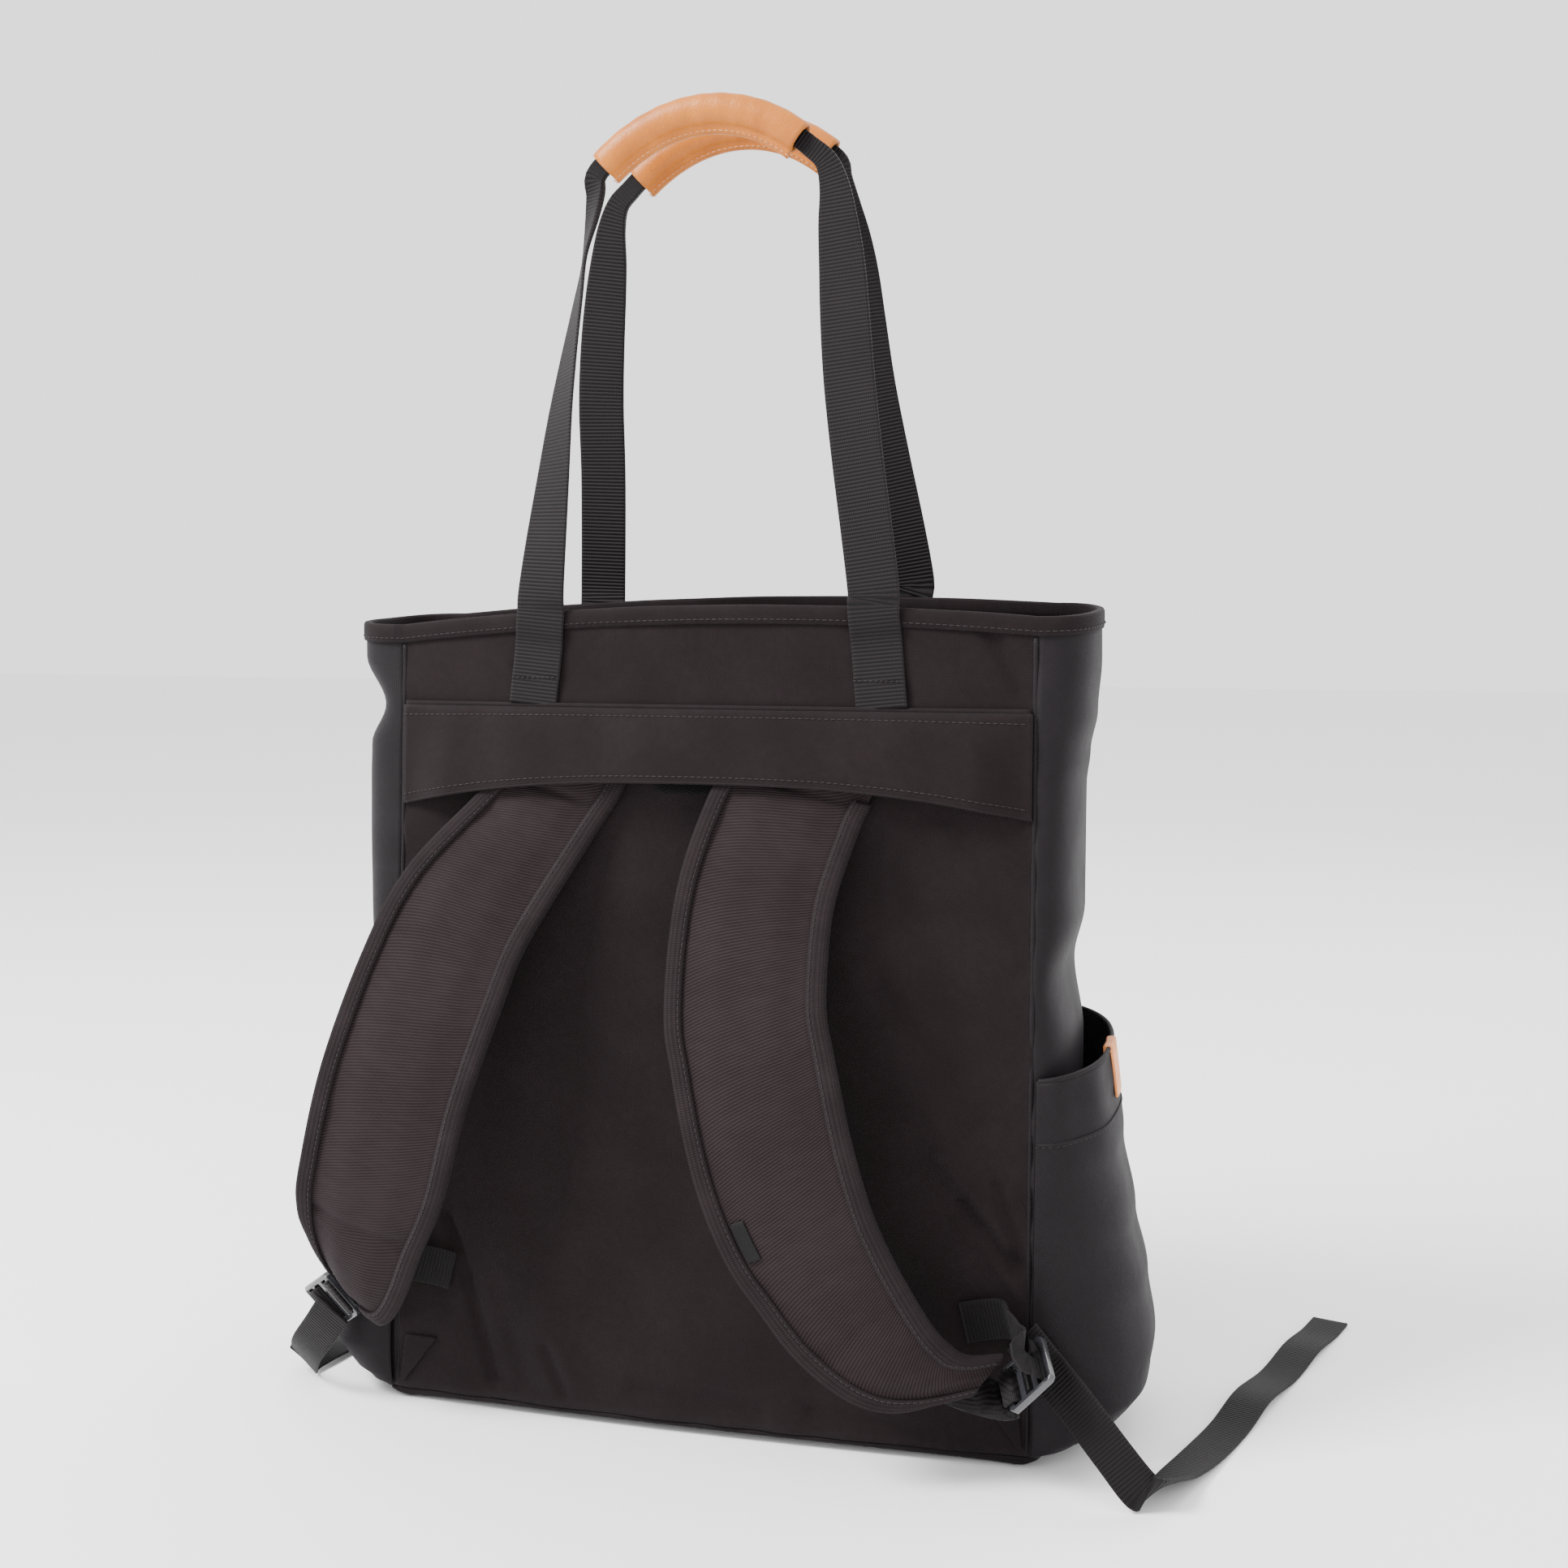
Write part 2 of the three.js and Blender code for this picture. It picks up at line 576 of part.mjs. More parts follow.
function closurePatch(name, middle, width, low, high, out, color) {
  const surface = (u, v) => {
    const t = 0.5 + (middle + (u - 0.5) * width) / panelWidth;
    return shell('back', t, mix(low, high, v), out + closureFabric);
  };
  return piece(name, sheet(surface, stations(2), stations(2), closureFabric), soft(color, 0.95));
}

// Hook-and-loop closure: a patch on the back panel and its mate inside the yoke
function closures() {
  const yokeLow = yokeSeamHeight - yokeDrop;
  const middle = -8;
  const mateMiddle = -12;
  const hidden = 16;
  const patch = closurePatch('closure_patch', middle, closureWidth, yokeLow - closureDrop, yokeLow + hidden,
    clearance, tape);
  const mate = closurePatch('closure_mate', mateMiddle, closureWidth * 1.15, yokeLow - 0.8, yokeLow + hidden,
    closureFabric + 3 * clearance, cloth);
  return [patch, mate];
}

function pocketLip(t) {
  return pocketHeight + pocketRise * t;
}

function pocketOut(t, share) {
  const swell = Math.max(0, Math.sin(Math.PI * t)) ** 1.2;
  return clearance + pocketFabric + pocketBulge * swell * between(pocketRows, 'height', 'bulge', share);
}

// Surface of a side pocket: t runs from the back seam to the front one
function pocketSurface(side, t, share, extra = 0) {
  const height = mix(baseSeamHeight + clearance, pocketLip(t), share);
  return shell(side, side === 'right' ? t : 1 - t, height, pocketOut(t, share) + extra);
}

function sidePocket(name, side) {
  const trimmed = (u) => mix(pocketTrim, 1 - pocketTrim, side === 'right' ? u : 1 - u);
  const surface = (u, v) => pocketSurface(side, trimmed(u), v);
  return piece(name, sheet(surface, stations(gussetColumns), pocketUp, pocketFabric), soft(clothSide));
}

// Leather tab folded over the middle of the right pocket's lip
function pocketTab() {
  const middle = gussetColumns / 2;
  const last = pocketUp[pocketUp.length - 2];
  const column = (i, share) => {
    const t = mix(pocketTrim, 1 - pocketTrim, i / gussetColumns);
    const low = pocketSurface('right', t, last);
    const high = pocketSurface('right', t, 1);
    return low.lerp(high, (share - last) / (1 - last));
  };
  const up = column(middle, 1).sub(column(middle, last));
  const along = column(middle + 1, 1).sub(column(middle - 1, 1));
  const outward = along.clone().cross(up).normalize();
  const rise = up.clone().normalize();
  const onLip = (aside, drop, out) => {
    const next = aside < 0 ? middle - 1 : middle + 1;
    const share = 1 - drop / pocketHeight;
    const reach = Math.abs(aside) / column(middle, 1).distanceTo(column(next, 1));
    const point = column(middle, Math.min(1, share)).lerp(column(next, Math.min(1, share)), reach);
    point.addScaledVector(outward, out);
    return point.addScaledVector(rise, Math.max(0, -drop));
  };
  const gap = tabFit;
  const inside = -pocketFabric - gap;
  const profile = [
    [gap + tabLeather, tabLength], [gap + tabLeather, -gap - tabLeather],
    [inside - tabLeather, -gap - tabLeather], [inside - tabLeather, tabTurnIn],
    [inside, tabTurnIn], [inside, -gap], [gap, -gap], [gap, tabLength],
  ];
  const sections = [-1, -0.5, 0, 0.5, 1].map((hand) => profile.map(
    ([out, drop]) => onLip(hand * tabWidth / 2, drop, out),
  ));
  return piece('pocket_tab', loft(sections, profile), soft(leather, 0.5));
}

// Frame of a shoulder strap at a share of its length
function strapFrame(rows, at) {
  const backPlane = (height) => -baseDepth / 2 + (backLean * height) / rimHeight;
  const place = (s) => {
    const height = strapHeight * smooth(rows.map((row) => row.height), s);
    return new THREE.Vector3(
      strapReach * smooth(rows.map((row) => row.side), s),
      backPlane(height) - strapBow * smooth(rows.map((row) => row.stand), s),
      height,
    );
  };
  const slant = THREE.MathUtils.degToRad(smooth(rows.map((row) => row.slant), at));
  const turn = THREE.MathUtils.degToRad(smooth(rows.map((row) => row.turn), at));
  const across = new THREE.Vector3(Math.cos(slant) * Math.cos(turn), Math.cos(slant) * Math.sin(turn), Math.sin(slant));
  const tangent = place(at + 0.01).sub(place(at - 0.01)).normalize();
  const normal = tangent.clone().cross(across).normalize();
  return {
    centre: place(at),
    across,
    normal,
    half: (strapWidth * smooth(rows.map((row) => row.width), at)) / 2,
    padding: strapPadding * smooth(rows.map((row) => row.padding), at),
    edge: strapEdge * smooth(rows.map((row) => row.edge), at),
  };
}

function inFrame(frame, aside, out) {
  return frame.centre.clone().addScaledVector(frame.across, aside).addScaledVector(frame.normal, out);
}

// Half thickness of the padding at a distance in from the strap's edge
function paddingAt(frame, inset) {
  const rim = Math.min(frame.edge, frame.padding) / 2;
  const full = frame.padding / 2;
  return mix(rim, full, ease((inset - bindingWidth) / (frame.half * 0.55)));
}

function strapCore(name, rows) {
  const insets = (frame) => [bindingTape + 3 * clearance, bindingWidth + 0.5, frame.half * 0.5, frame.half * 0.75];
  const sections = stations(strapSteps).map((at) => {
    const frame = strapFrame(rows, at);
    const right = insets(frame).map((wanted, k) => {
      const inset = Math.min(wanted, frame.half * (0.3 + 0.2 * k));
      return [frame.half - inset, paddingAt(frame, inset)];
    });
    const loop = [
      ...right, [0, paddingAt(frame, frame.half)],
      ...[...right].reverse().map(([s, n]) => [-s, n]),
      ...right.map(([s, n]) => [-s, -n]), [0, -paddingAt(frame, frame.half)],
      ...[...right].reverse().map(([s, n]) => [s, -n]),
    ];
    return loop.map(([s, n]) => inFrame(frame, s, n));
  });
  const flat = Array.from({ length: 18 }, (_, k) => {
    const angle = (k / 18) * 2 * Math.PI;
    return [Math.cos(angle), Math.sin(angle)];
  });
  return piece(name, loft(sections, flat), soft(strapCloth));
}

// Tape folded round one long edge of a strap: hand is 1 on its right edge, -1 on its left
function strapBinding(name, rows, hand) {
  const run = stations(strapSteps).slice(2);
  const outlineOf = (frame) => {
    const rim = Math.min(frame.edge, frame.padding) / 2;
    const reach = Math.min(bindingWidth, frame.half * 0.45);
    const slope = paddingAt(frame, reach) - rim;
    const deep = frame.half - reach;
    const fit = 2 * clearance;
    return [
      [deep, rim + slope + fit + bindingTape], [frame.half, rim + fit + bindingTape],
      [frame.half, -rim - fit - bindingTape], [deep, -rim - slope - fit - bindingTape],
      [deep, -rim - slope - fit], [frame.half - bindingTape, -rim - fit],
      [frame.half - bindingTape, rim + fit], [deep, rim + slope + fit],
    ];
  };
  const sections = run.map((at) => {
    const frame = strapFrame(rows, at);
    return outlineOf(frame).map(([s, n]) => inFrame(frame, hand * s, n));
  });
  const first = outlineOf(strapFrame(rows, run[0])).map(([s, n]) => [hand * s, n]);
  return piece(name, loft(sections, first), soft(tape, 0.9));
}

// Plain woven label sewn in along the right strap's inner binding
function strapLabel() {
  const span = [0.505, 0.52, 0.535, 0.55];
  const inset = bindingWidth + 1.2;
  const outline = [[0, 0], [1, 0], [1, 1], [0, 1]];
  const sections = span.map((at) => {
    const frame = strapFrame(rightStrapRows, at);
    const low = paddingAt(frame, inset) + clearance + 0.25;
    const high = paddingAt(frame, inset + labelWidth) + clearance + 0.35;
    return [
      inFrame(frame, -frame.half + inset, low), inFrame(frame, -frame.half + inset + labelWidth, high),
      inFrame(frame, -frame.half + inset + labelWidth, high + labelThickness),
      inFrame(frame, -frame.half + inset, low + labelThickness),
    ];
  });
  return piece('strap_label', loft(sections, outline), soft(0x161415, 0.7));
}

// Place and directions of a ladder lock: bars run along it, pull leads away from the strap
function lockFrame(middle, bars, pull) {
  const along = new THREE.Vector3(...bars).normalize();
  const away = new THREE.Vector3(...pull);
  away.addScaledVector(along, -away.dot(along)).normalize();
  const face = away.clone().cross(along);
  return { middle: new THREE.Vector3(...middle), along, away, face };
}

const lockLength = 4 * lockBar + 3 * lockSlot;
const rightLock = lockFrame(
  [panelWidth / 2 + rightLockAside, -baseDepth / 2 - rightLockStand, anchorHeight - rightLockBelow],
  [-0.3, 0.86, 0.4],
  [0.66, -0.1, 0.74],
);
const leftLock = lockFrame(
  [-panelWidth / 2 - leftLockAside, -baseDepth / 2 - leftLockStand, anchorHeight - leftLockBelow],
  [0.64, 0.12, -0.76],
  [-0.7, 0.5, -0.515],
);

// Point in a lock's frame: b from its strap end, n out from its middle plane
function atLock(lock, b, n, a = 0) {
  return lock.middle.clone()
    .addScaledVector(lock.away, b - lockLength / 2)
    .addScaledVector(lock.face, n)
    .addScaledVector(lock.along, a);
}

// Ladder lock: a plastic frame of four bars with three slots
function ladderLock(name, lock) {
  const shape = new THREE.Shape();
  const w = lockWidth / 2;
  const corner = lockCorner;
  shape.moveTo(-w + corner, 0);
  shape.lineTo(w - corner, 0);
  shape.lineTo(w, corner);
  shape.lineTo(w, lockLength - corner);
  shape.lineTo(w - corner, lockLength);
  shape.lineTo(-w + corner, lockLength);
  shape.lineTo(-w, lockLength - corner);
  shape.lineTo(-w, corner);
  shape.closePath();
  for (let slot = 0; slot < 3; slot += 1) {
    const low = lockBar + slot * (lockBar + lockSlot);
    const hole = new THREE.Path();
    hole.moveTo(-lockSlotWidth / 2, low);
    hole.lineTo(-lockSlotWidth / 2, low + lockSlot);
    hole.lineTo(lockSlotWidth / 2, low + lockSlot);
    hole.lineTo(lockSlotWidth / 2, low);
    hole.closePath();
    shape.holes.push(hole);
  }
  const geometry = new THREE.ExtrudeGeometry(shape, { depth: lockThickness, bevelEnabled: false });
  geometry.translate(0, -lockLength / 2, -lockThickness / 2);
  const mesh = piece(name, geometry, new THREE.MeshStandardMaterial({ color: plastic, roughness: 0.25 }));
  mesh.position.copy(lock.middle);
  mesh.quaternion.setFromRotationMatrix(new THREE.Matrix4().makeBasis(lock.along, lock.away,
    lock.along.clone().cross(lock.away)));
  return mesh;
}

// Short webbing from the back of the strap's end, round the lock's first bar
function buckleLoop(name, rows, lock, sewn, drop) {
  const ply = lockThickness / 2 + loopFit + webbingThickness / 2;
  const behind = (at) => {
    const frame = strapFrame(rows, at);
    const out = frame.padding / 2 + loopStand + bindingTape + webbingThickness / 2;
    return { point: inFrame(frame, -drop, -out), across: frame.across };
  };
  const turn = [
    [-6, -ply - 1.4], [0.5, -ply], [4.4, 0.9 - ply], [5.6, 0], [4.6, ply - 0.9], [1.6, ply], [-1, ply],
  ];
  const path = [
    ...sewn.map(behind),
    ...turn.map(([b, n]) => ({ point: atLock(lock, b, n), across: lock.along })),
  ].map((row) => ({ ...row, width: adjusterWebbing, thickness: webbingThickness }));
  return piece(name, ribbon(path, loopSteps), soft(webbingBlack));
}

// Webbing loop sewn to the side seam, round the lock's third bar
function strapAnchor(name, lock, hand, reach) {
  const stand = clearance * 2 + webbingThickness / 2 + 1;
  const sewnAcross = new THREE.Vector3(hand * -0.28, 0, 0.96);
  const rows = [
    { aside: 0.405, out: 0 }, { aside: 0.425, out: 0.2 }, { aside: 0.445, out: 1.5 }, { aside: 0.47, out: 5.5 },
  ].map(({ aside, out }, i) => ({
    point: shell('back', 0.5 + hand * aside, anchorHeight - 2 + 1.6 * i, stand + out),
    across: sewnAcross,
  }));
  const near = lock.face.dot(rows[0].point.clone().sub(lock.middle)) > 0 ? 1 : -1;
  const slots = [1.5, 2.5].map((slot) => slot * (lockBar + lockSlot) + lockBar / 2);
  const over = lockThickness / 2 + 1.9;
  const bend = lockSlot * 0.3;
  const round = [
    [slots[1] + 1, reach * over], [slots[1], 1.3 * over], [slots[1], 0], [slots[1] - bend, -0.85 * over],
    [(slots[0] + slots[1]) / 2, -over], [slots[0] + bend, -0.85 * over], [slots[0], 0], [slots[0], 0.6 * over],
  ];
  const sewnEnd = rows[rows.length - 1];
  const [enterB, enterN] = round[0];
  const enter = { point: atLock(lock, enterB, near * enterN), across: lock.along };
  const facing = Math.sign(enter.across.dot(sewnEnd.across));
  for (const share of [1 / 3, 2 / 3]) {
    rows.push({
      point: sewnEnd.point.clone().lerp(enter.point, share),
      across: sewnEnd.across.clone().lerp(enter.across.clone().multiplyScalar(facing), share),
    });
  }
  for (const [b, n] of round) rows.push({ point: atLock(lock, b, near * n), across: lock.along });
  const strand = rows.map((row) => ({ ...row, width: adjusterWebbing, thickness: webbingThickness }));
  return piece(name, ribbon(strand, anchorSteps), soft(webbingBlack));
}

// The adjuster's free end: down from the side seam, folded on the floor and left lying
function adjuster(name, hand, tailRows) {
  const corner = new THREE.Vector3(hand * (panelWidth / 2), -baseDepth / 2 - tailStand, 0);
  const lowest = ([x, y, z]) => {
    const tilt = Math.abs(z) / Math.hypot(x, y, z);
    return (adjusterWebbing / 2) * tilt + webbingThickness / 2 + floorGap * Math.min(1, 3 * tilt);
  };
  const rows = tailRows.map((row) => ({
    point: new THREE.Vector3(
      corner.x + row.out * tailReach,
      corner.y + row.run * tailRun,
      Math.max(row.height * anchorHeight, lowest(row.across)),
    ),
    across: new THREE.Vector3(...row.across),
    width: adjusterWebbing,
    thickness: webbingThickness,
  }));
  return piece(name, ribbon(rows, tailSteps), soft(webbingBlack));
}

// Fabric triangle sewn into the side seam at the base corner
function cornerTab(name, hand) {
  const seam = 0.5 + hand * 0.492;
  const inner = 0.5 + hand * 0.43;
  const surface = (u, v) => {
    const t = mix(mix(seam, inner, 0.12), mix(seam, inner, 1), hand > 0 ? 1 - u : u);
    const narrow = mix(0.1, 1, v);
    const place = mix(seam, t, narrow);
    return shell('back', place, mix(baseSeamHeight + 4, cornerTabHeight, v), clearance + fabric);
  };
  return piece(name, sheet(surface, stations(2), stations(4), fabric), soft(cloth));
}

// Centre line of a grip, and of the webbing in it, from its left end to its right
function gripPoint(middle, depth, share) {
  const s = 2 * share - 1;
  return new THREE.Vector3(
    middle + (gripLength / 2) * s,
    depth,
    rimHeight + handleRise - gripArch * s ** 2 - 2 * s ** 4 + gripTilt * s,
  );
}

// One handle: webbing sewn to a panel, up over the hem, through its grip and down again
function handle(name, side, middle, gripMiddle, depth, leftRows) {
  const facing = side === 'back' ? 1 : -1;
  const flat = { width: webbing, thickness: webbingThickness, turn: 0 };
  const leg = (hand, rows) => {
    const ply = clearance + webbingThickness / 2 + 0.3;
    const lean = (height) => mix(1, 0.95, (height - yokeSeamHeight) / (rimHeight - yokeSeamHeight));
    const place = (height) => 0.5 + (facing * hand * handleSpread * lean(height)) / panelWidth;
    const top = rimTop(side, place(rimHeight));
    const overHem = ply + clearance + hemFabric;
    const sewn = [[yokeSeamHeight + 4 * clearance, ply], [yokeSeamHeight + 12, ply], [top - hemHeight - 8, ply + 0.1],
      [top - hemHeight + 1, overHem + 0.3], [top, overHem + 0.3]];
    const low = sewn.map(([height, out]) => ({ point: shell(side, place(height), height, out), ...flat }));
    const rim = low[low.length - 1].point;
    const rimBase = rows.map((row) => {
      const share = ease(row.rise) * 0.35 + row.rise * 0.65;
      return {
        point: new THREE.Vector3(
          middle * Math.min(1, 2 * row.rise) + hand * handleSpread * row.spread,
          mix(rim.y, depth, share),
          mix(rim.z + 14, rimHeight + handleRise - gripArch - 4 + hand * gripTilt, row.rise),
        ),
        width: mix(webbing, foldedWidth, row.fold),
        thickness: mix(webbingThickness, foldedThickness, row.fold),
        turn: row.turn,
      };
    });
    return [...low, ...rimBase];
  };
  const inside = { width: foldedWidth, thickness: foldedThickness, turn: 0 };
  const arch = stations(8).map((share) => ({ point: gripPoint(gripMiddle, depth, share), ...inside }));
  const rows = [...leg(-1, leftRows), ...arch, ...leg(1, plainLegRows).reverse()];
  const points = rows.map((row) => row.point);
  const path = rows.map((row, i) => {
    const before = points[Math.max(0, i - 1)];
    const after = points[Math.min(points.length - 1, i + 1)];
    const tangent = after.clone().sub(before).normalize();
    const across = new THREE.Vector3(-tangent.z, 0, tangent.x).normalize();
    across.applyAxisAngle(tangent, THREE.MathUtils.degToRad(row.turn));
    return { ...row, across };
  });
  return piece(name, ribbon(path, handleSteps), soft(webbingBlack));
}

// Leather tube round the folded webbing, its two edges sewn together in a flange below
function grip(name, middle, depth) {
  const sides = 12;
  const steps = 8;
  const tuck = 0.035;
  const rings = stations(steps).map((share) => {
    const at = mix(tuck, 1 - tuck, share);
    const centre = gripPoint(middle, depth, at);
    const tangent = gripPoint(middle, depth, at + 0.01).sub(gripPoint(middle, depth, at - 0.01)).normalize();
    return { centre, up: new THREE.Vector3(-tangent.z, 0, tangent.x) };
  });
  const sideways = new THREE.Vector3(0, 1, 0);
  const point = ({ centre, up }, height, aside) => centre.clone()
    .addScaledVector(up, height)
    .addScaledVector(sideways, aside);
  const oval = (angle, grow) => [
    Math.cos(angle) * (gripBoreHeight / 2 + grow), Math.sin(angle) * (gripBoreWidth / 2 + grow),
  ];
  const outlines = [];
  for (let k = 0; k < sides; k += 1) {
    const angle = (k / sides) * 2 * Math.PI;
    if (k === sides / 2) {
      for (const hand of [1, -1]) {
        const flange = [-gripBoreHeight / 2 - gripLeather - gripFlange, hand * gripLeather];
        outlines.push([flange, oval(angle - hand * 0.1, 0)]);
      }
    } else {
      outlines.push([oval(angle, gripLeather), oval(angle, 0)]);
    }
  }
  const sections = outlines.map(([outer, inner]) => [
    ...rings.map((r) => point(r, ...outer)),
    ...rings.map((r) => point(r, ...inner)).reverse(),
  ]);
  return piece(name, hoop(sections), soft(leather, 0.45));
}

const backpack = new THREE.Group();
backpack.name = 'convertible_backpack';
backpack.add(
  bodyWall('back_panel', 'back', backColumns, cloth),
  bodyWall('front_panel', 'front', frontColumns, cloth),
  bodyWall('gusset_right', 'right', gussetColumns, clothSide),
  bodyWall('gusset_left', 'left', gussetColumns, clothSide),
  basePanel(),
  rimHem(),
  yokeBand(),
  ...closures(),
  sidePocket('side_pocket_right', 'right'),
  sidePocket('side_pocket_left', 'left'),
  pocketTab(),
);
for (const [hand, rows] of [['right', rightStrapRows], ['left', leftStrapRows]]) {
  backpack.add(
    strapCore(`shoulder_strap_${hand}`, rows),
    strapBinding(`strap_binding_${hand}_a`, rows, -1),
    strapBinding(`strap_binding_${hand}_b`, rows, 1),
  );
}
backpack.add(
  strapLabel(),
  ladderLock('ladder_lock_right', rightLock),
  ladderLock('ladder_lock_left', leftLock),
  buckleLoop('buckle_loop_right', rightStrapRows, rightLock, [0.9, 0.945], strapEndDrop),
  buckleLoop('buckle_loop_left', leftStrapRows, leftLock, [0.87, 0.93], 0),
  strapAnchor('strap_anchor_right', rightLock, 1, 2.8),
  strapAnchor('strap_anchor_left', leftLock, -1, 1.9),
  adjuster('adjuster_right', 1, rightTailRows),
  adjuster('adjuster_left', -1, leftTailRows),
  cornerTab('corner_tab_right', 1),
  cornerTab('corner_tab_left', -1),
  handle('handle_near', 'back', nearHandleMiddle, nearGripMiddle, -handleSpacing / 2 - gripStand, twistedLegRows),
  handle('handle_far', 'front', farHandleMiddle, farGripMiddle, handleSpacing / 2 - gripStand, plainLegRows),
  grip('grip_near', nearGripMiddle, -handleSpacing / 2 - gripStand),
  grip('grip_far', farGripMiddle, handleSpacing / 2 - gripStand),
);
export default backpack;
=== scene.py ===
import math

import bmesh
import bpy
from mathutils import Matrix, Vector, noise


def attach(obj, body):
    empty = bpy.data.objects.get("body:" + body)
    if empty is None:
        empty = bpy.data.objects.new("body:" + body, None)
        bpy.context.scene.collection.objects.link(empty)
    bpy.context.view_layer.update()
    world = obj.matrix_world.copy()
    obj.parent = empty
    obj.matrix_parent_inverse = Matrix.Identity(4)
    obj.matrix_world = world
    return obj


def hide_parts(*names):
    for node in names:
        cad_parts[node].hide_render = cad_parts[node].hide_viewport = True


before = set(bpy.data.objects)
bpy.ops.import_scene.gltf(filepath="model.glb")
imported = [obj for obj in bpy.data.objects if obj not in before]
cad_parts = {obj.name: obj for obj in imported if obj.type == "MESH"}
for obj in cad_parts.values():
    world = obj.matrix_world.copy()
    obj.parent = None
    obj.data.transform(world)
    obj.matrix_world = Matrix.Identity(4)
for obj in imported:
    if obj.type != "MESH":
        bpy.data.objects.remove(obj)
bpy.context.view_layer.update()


# Camera: where the photographer stood, a little above the bag and to its right, with the lens that
# gives the picture's perspective. Places in this file are in mm, and MM turns them into metres.
MM = 0.001
camera_data = bpy.data.cameras.new("camera")
camera_data.sensor_width = 36.0
camera_data.lens = 44.72
camera = bpy.data.objects.new("camera", camera_data)
camera.location = Vector((281.1, -951.1, 411.2)) * MM
camera.rotation_euler = (math.radians(90 - 5.5), 0, math.radians(15))
bpy.context.collection.objects.link(camera)
bpy.context.scene.camera = camera


# Bag walls: black nylon cut as a back panel, a front panel and two gussets, sewn together in four
# upright seams. Each wall sags and bulges a little, and creases where a strap or seam pulls on it.
PANEL_WIDTH = 320
BASE_FLARE = 6
RIM_HEIGHT = 405
BASE_DEPTH = 130
MOUTH_DEPTH = 75
BACK_LEAN = 19
GUSSET_BULGE = 30
GUSSET_SQUARENESS = 0.74
PANEL_CAMBER = 5
FABRIC = 1.6
CLEARANCE = 0.3
BASE_SEAM = 6
YOKE_SEAM = 357
YOKE_DROP = 35
YOKE_ARC = 15
RIM_CORNERS = {"back": (-8, -3, 2), "front": (3, -3, 6), "right": (-3, 3), "left": (-3, -8)}
# share of the height, then how full the right and the left gusset stand there
GUSSET_ROWS = [
    (0.0, 0.35, 0.4), (0.06, 0.5, 0.62), (0.3, 0.5, 0.7), (0.48, 0.55, 0.85), (0.57, 0.38, 0.9),
    (0.64, 0.57, 0.92), (0.79, 0.6, 0.97), (0.83, 0.66, 0.95), (0.88, 0.78, 0.62), (0.94, 0.84, 1.05),
    (1.0, 0.84, 1.05),
]
# a dent or crease runs from side, rise to side, rise, as shares, with its span and depth in mm
BACK_DENTS = [
    (0.1, 0.2, 0.2, 0.05, 15, 3.0), (0.17, 0.24, 0.27, 0.06, 15, -2.4), (0.84, 0.36, 0.95, 0.24, 12, 3.0),
    (0.78, 0.3, 0.88, 0.2, 12, -2.0), (0.5, 0.75, 0.5, 0.3, 60, 3.5), (0.78, 0.72, 0.9, 0.5, 22, 2.6),
    (0.72, 0.6, 0.84, 0.4, 20, -2.2), (0.25, 0.96, 0.32, 0.9, 16, 2.0), (0.75, 0.96, 0.7, 0.9, 16, 2.0),
]
FRONT_DENTS = [
    (0.4, 0.66, 0.48, 0.35, 40, 3.5), (0.75, 0.55, 0.62, 0.12, 30, 3.0), (0.12, 0.3, 0.2, 0.06, 18, 2.5),
]
BACK_CREASES = [
    (0.085, 0.235, 0.165, 0.04, 3.2, 1.8), (0.115, 0.25, 0.195, 0.05, 4.0, -1.3),
    (0.255, 0.085, 0.285, 0.035, 3.0, 1.4), (0.90, 0.31, 0.975, 0.235, 3.4, 2.0),
    (0.93, 0.27, 0.985, 0.205, 3.0, -1.5), (0.87, 0.36, 0.965, 0.26, 4.0, -1.5),
    (0.95, 0.33, 0.985, 0.24, 2.6, 1.6), (0.03, 0.30, 0.085, 0.12, 5.0, 1.2),
    (0.80, 0.70, 0.90, 0.52, 7.0, 1.3), (0.86, 0.74, 0.965, 0.60, 6.0, -1.2),
    (0.77, 0.56, 0.92, 0.40, 7.0, 1.2), (0.40, 0.05, 0.60, 0.035, 4.0, 1.0),
    (0.68, 0.045, 0.86, 0.03, 3.6, 1.1), (0.20, 0.93, 0.235, 0.895, 3.0, 0.9),
    (0.78, 0.935, 0.81, 0.895, 3.0, 0.9), (0.93, 0.975, 0.985, 0.90, 4.0, 1.4),
]
CREASE_SINKS = 1.8
CREASE_STANDS = 1.1
RIM_TUCK = 1.3
WALL_ROWS = 120


def mix(low, high, share):
    return low + (high - low) * share


def ease(share):
    t = min(1.0, max(0.0, share))
    return t * t * (3 - 2 * t)


def steps(count):
    return [i / count for i in range(count + 1)]


def between(rows, at, column):
    if at <= rows[0][0]:
        return rows[0][column]
    for low, high in zip(rows, rows[1:]):
        if at <= high[0]:
            return mix(low[column], high[column], ease((at - low[0]) / (high[0] - low[0])))
    return rows[-1][column]


def rim_top(side, t):
    if side in ("back", "front"):
        left, right, middle = RIM_CORNERS[side]
        crown = 1 - (2 * t - 1) ** 2
        return RIM_HEIGHT + mix(left, right, t) + crown * (middle - (left + right) / 2)
    return RIM_HEIGHT + mix(*RIM_CORNERS[side], ease(t))


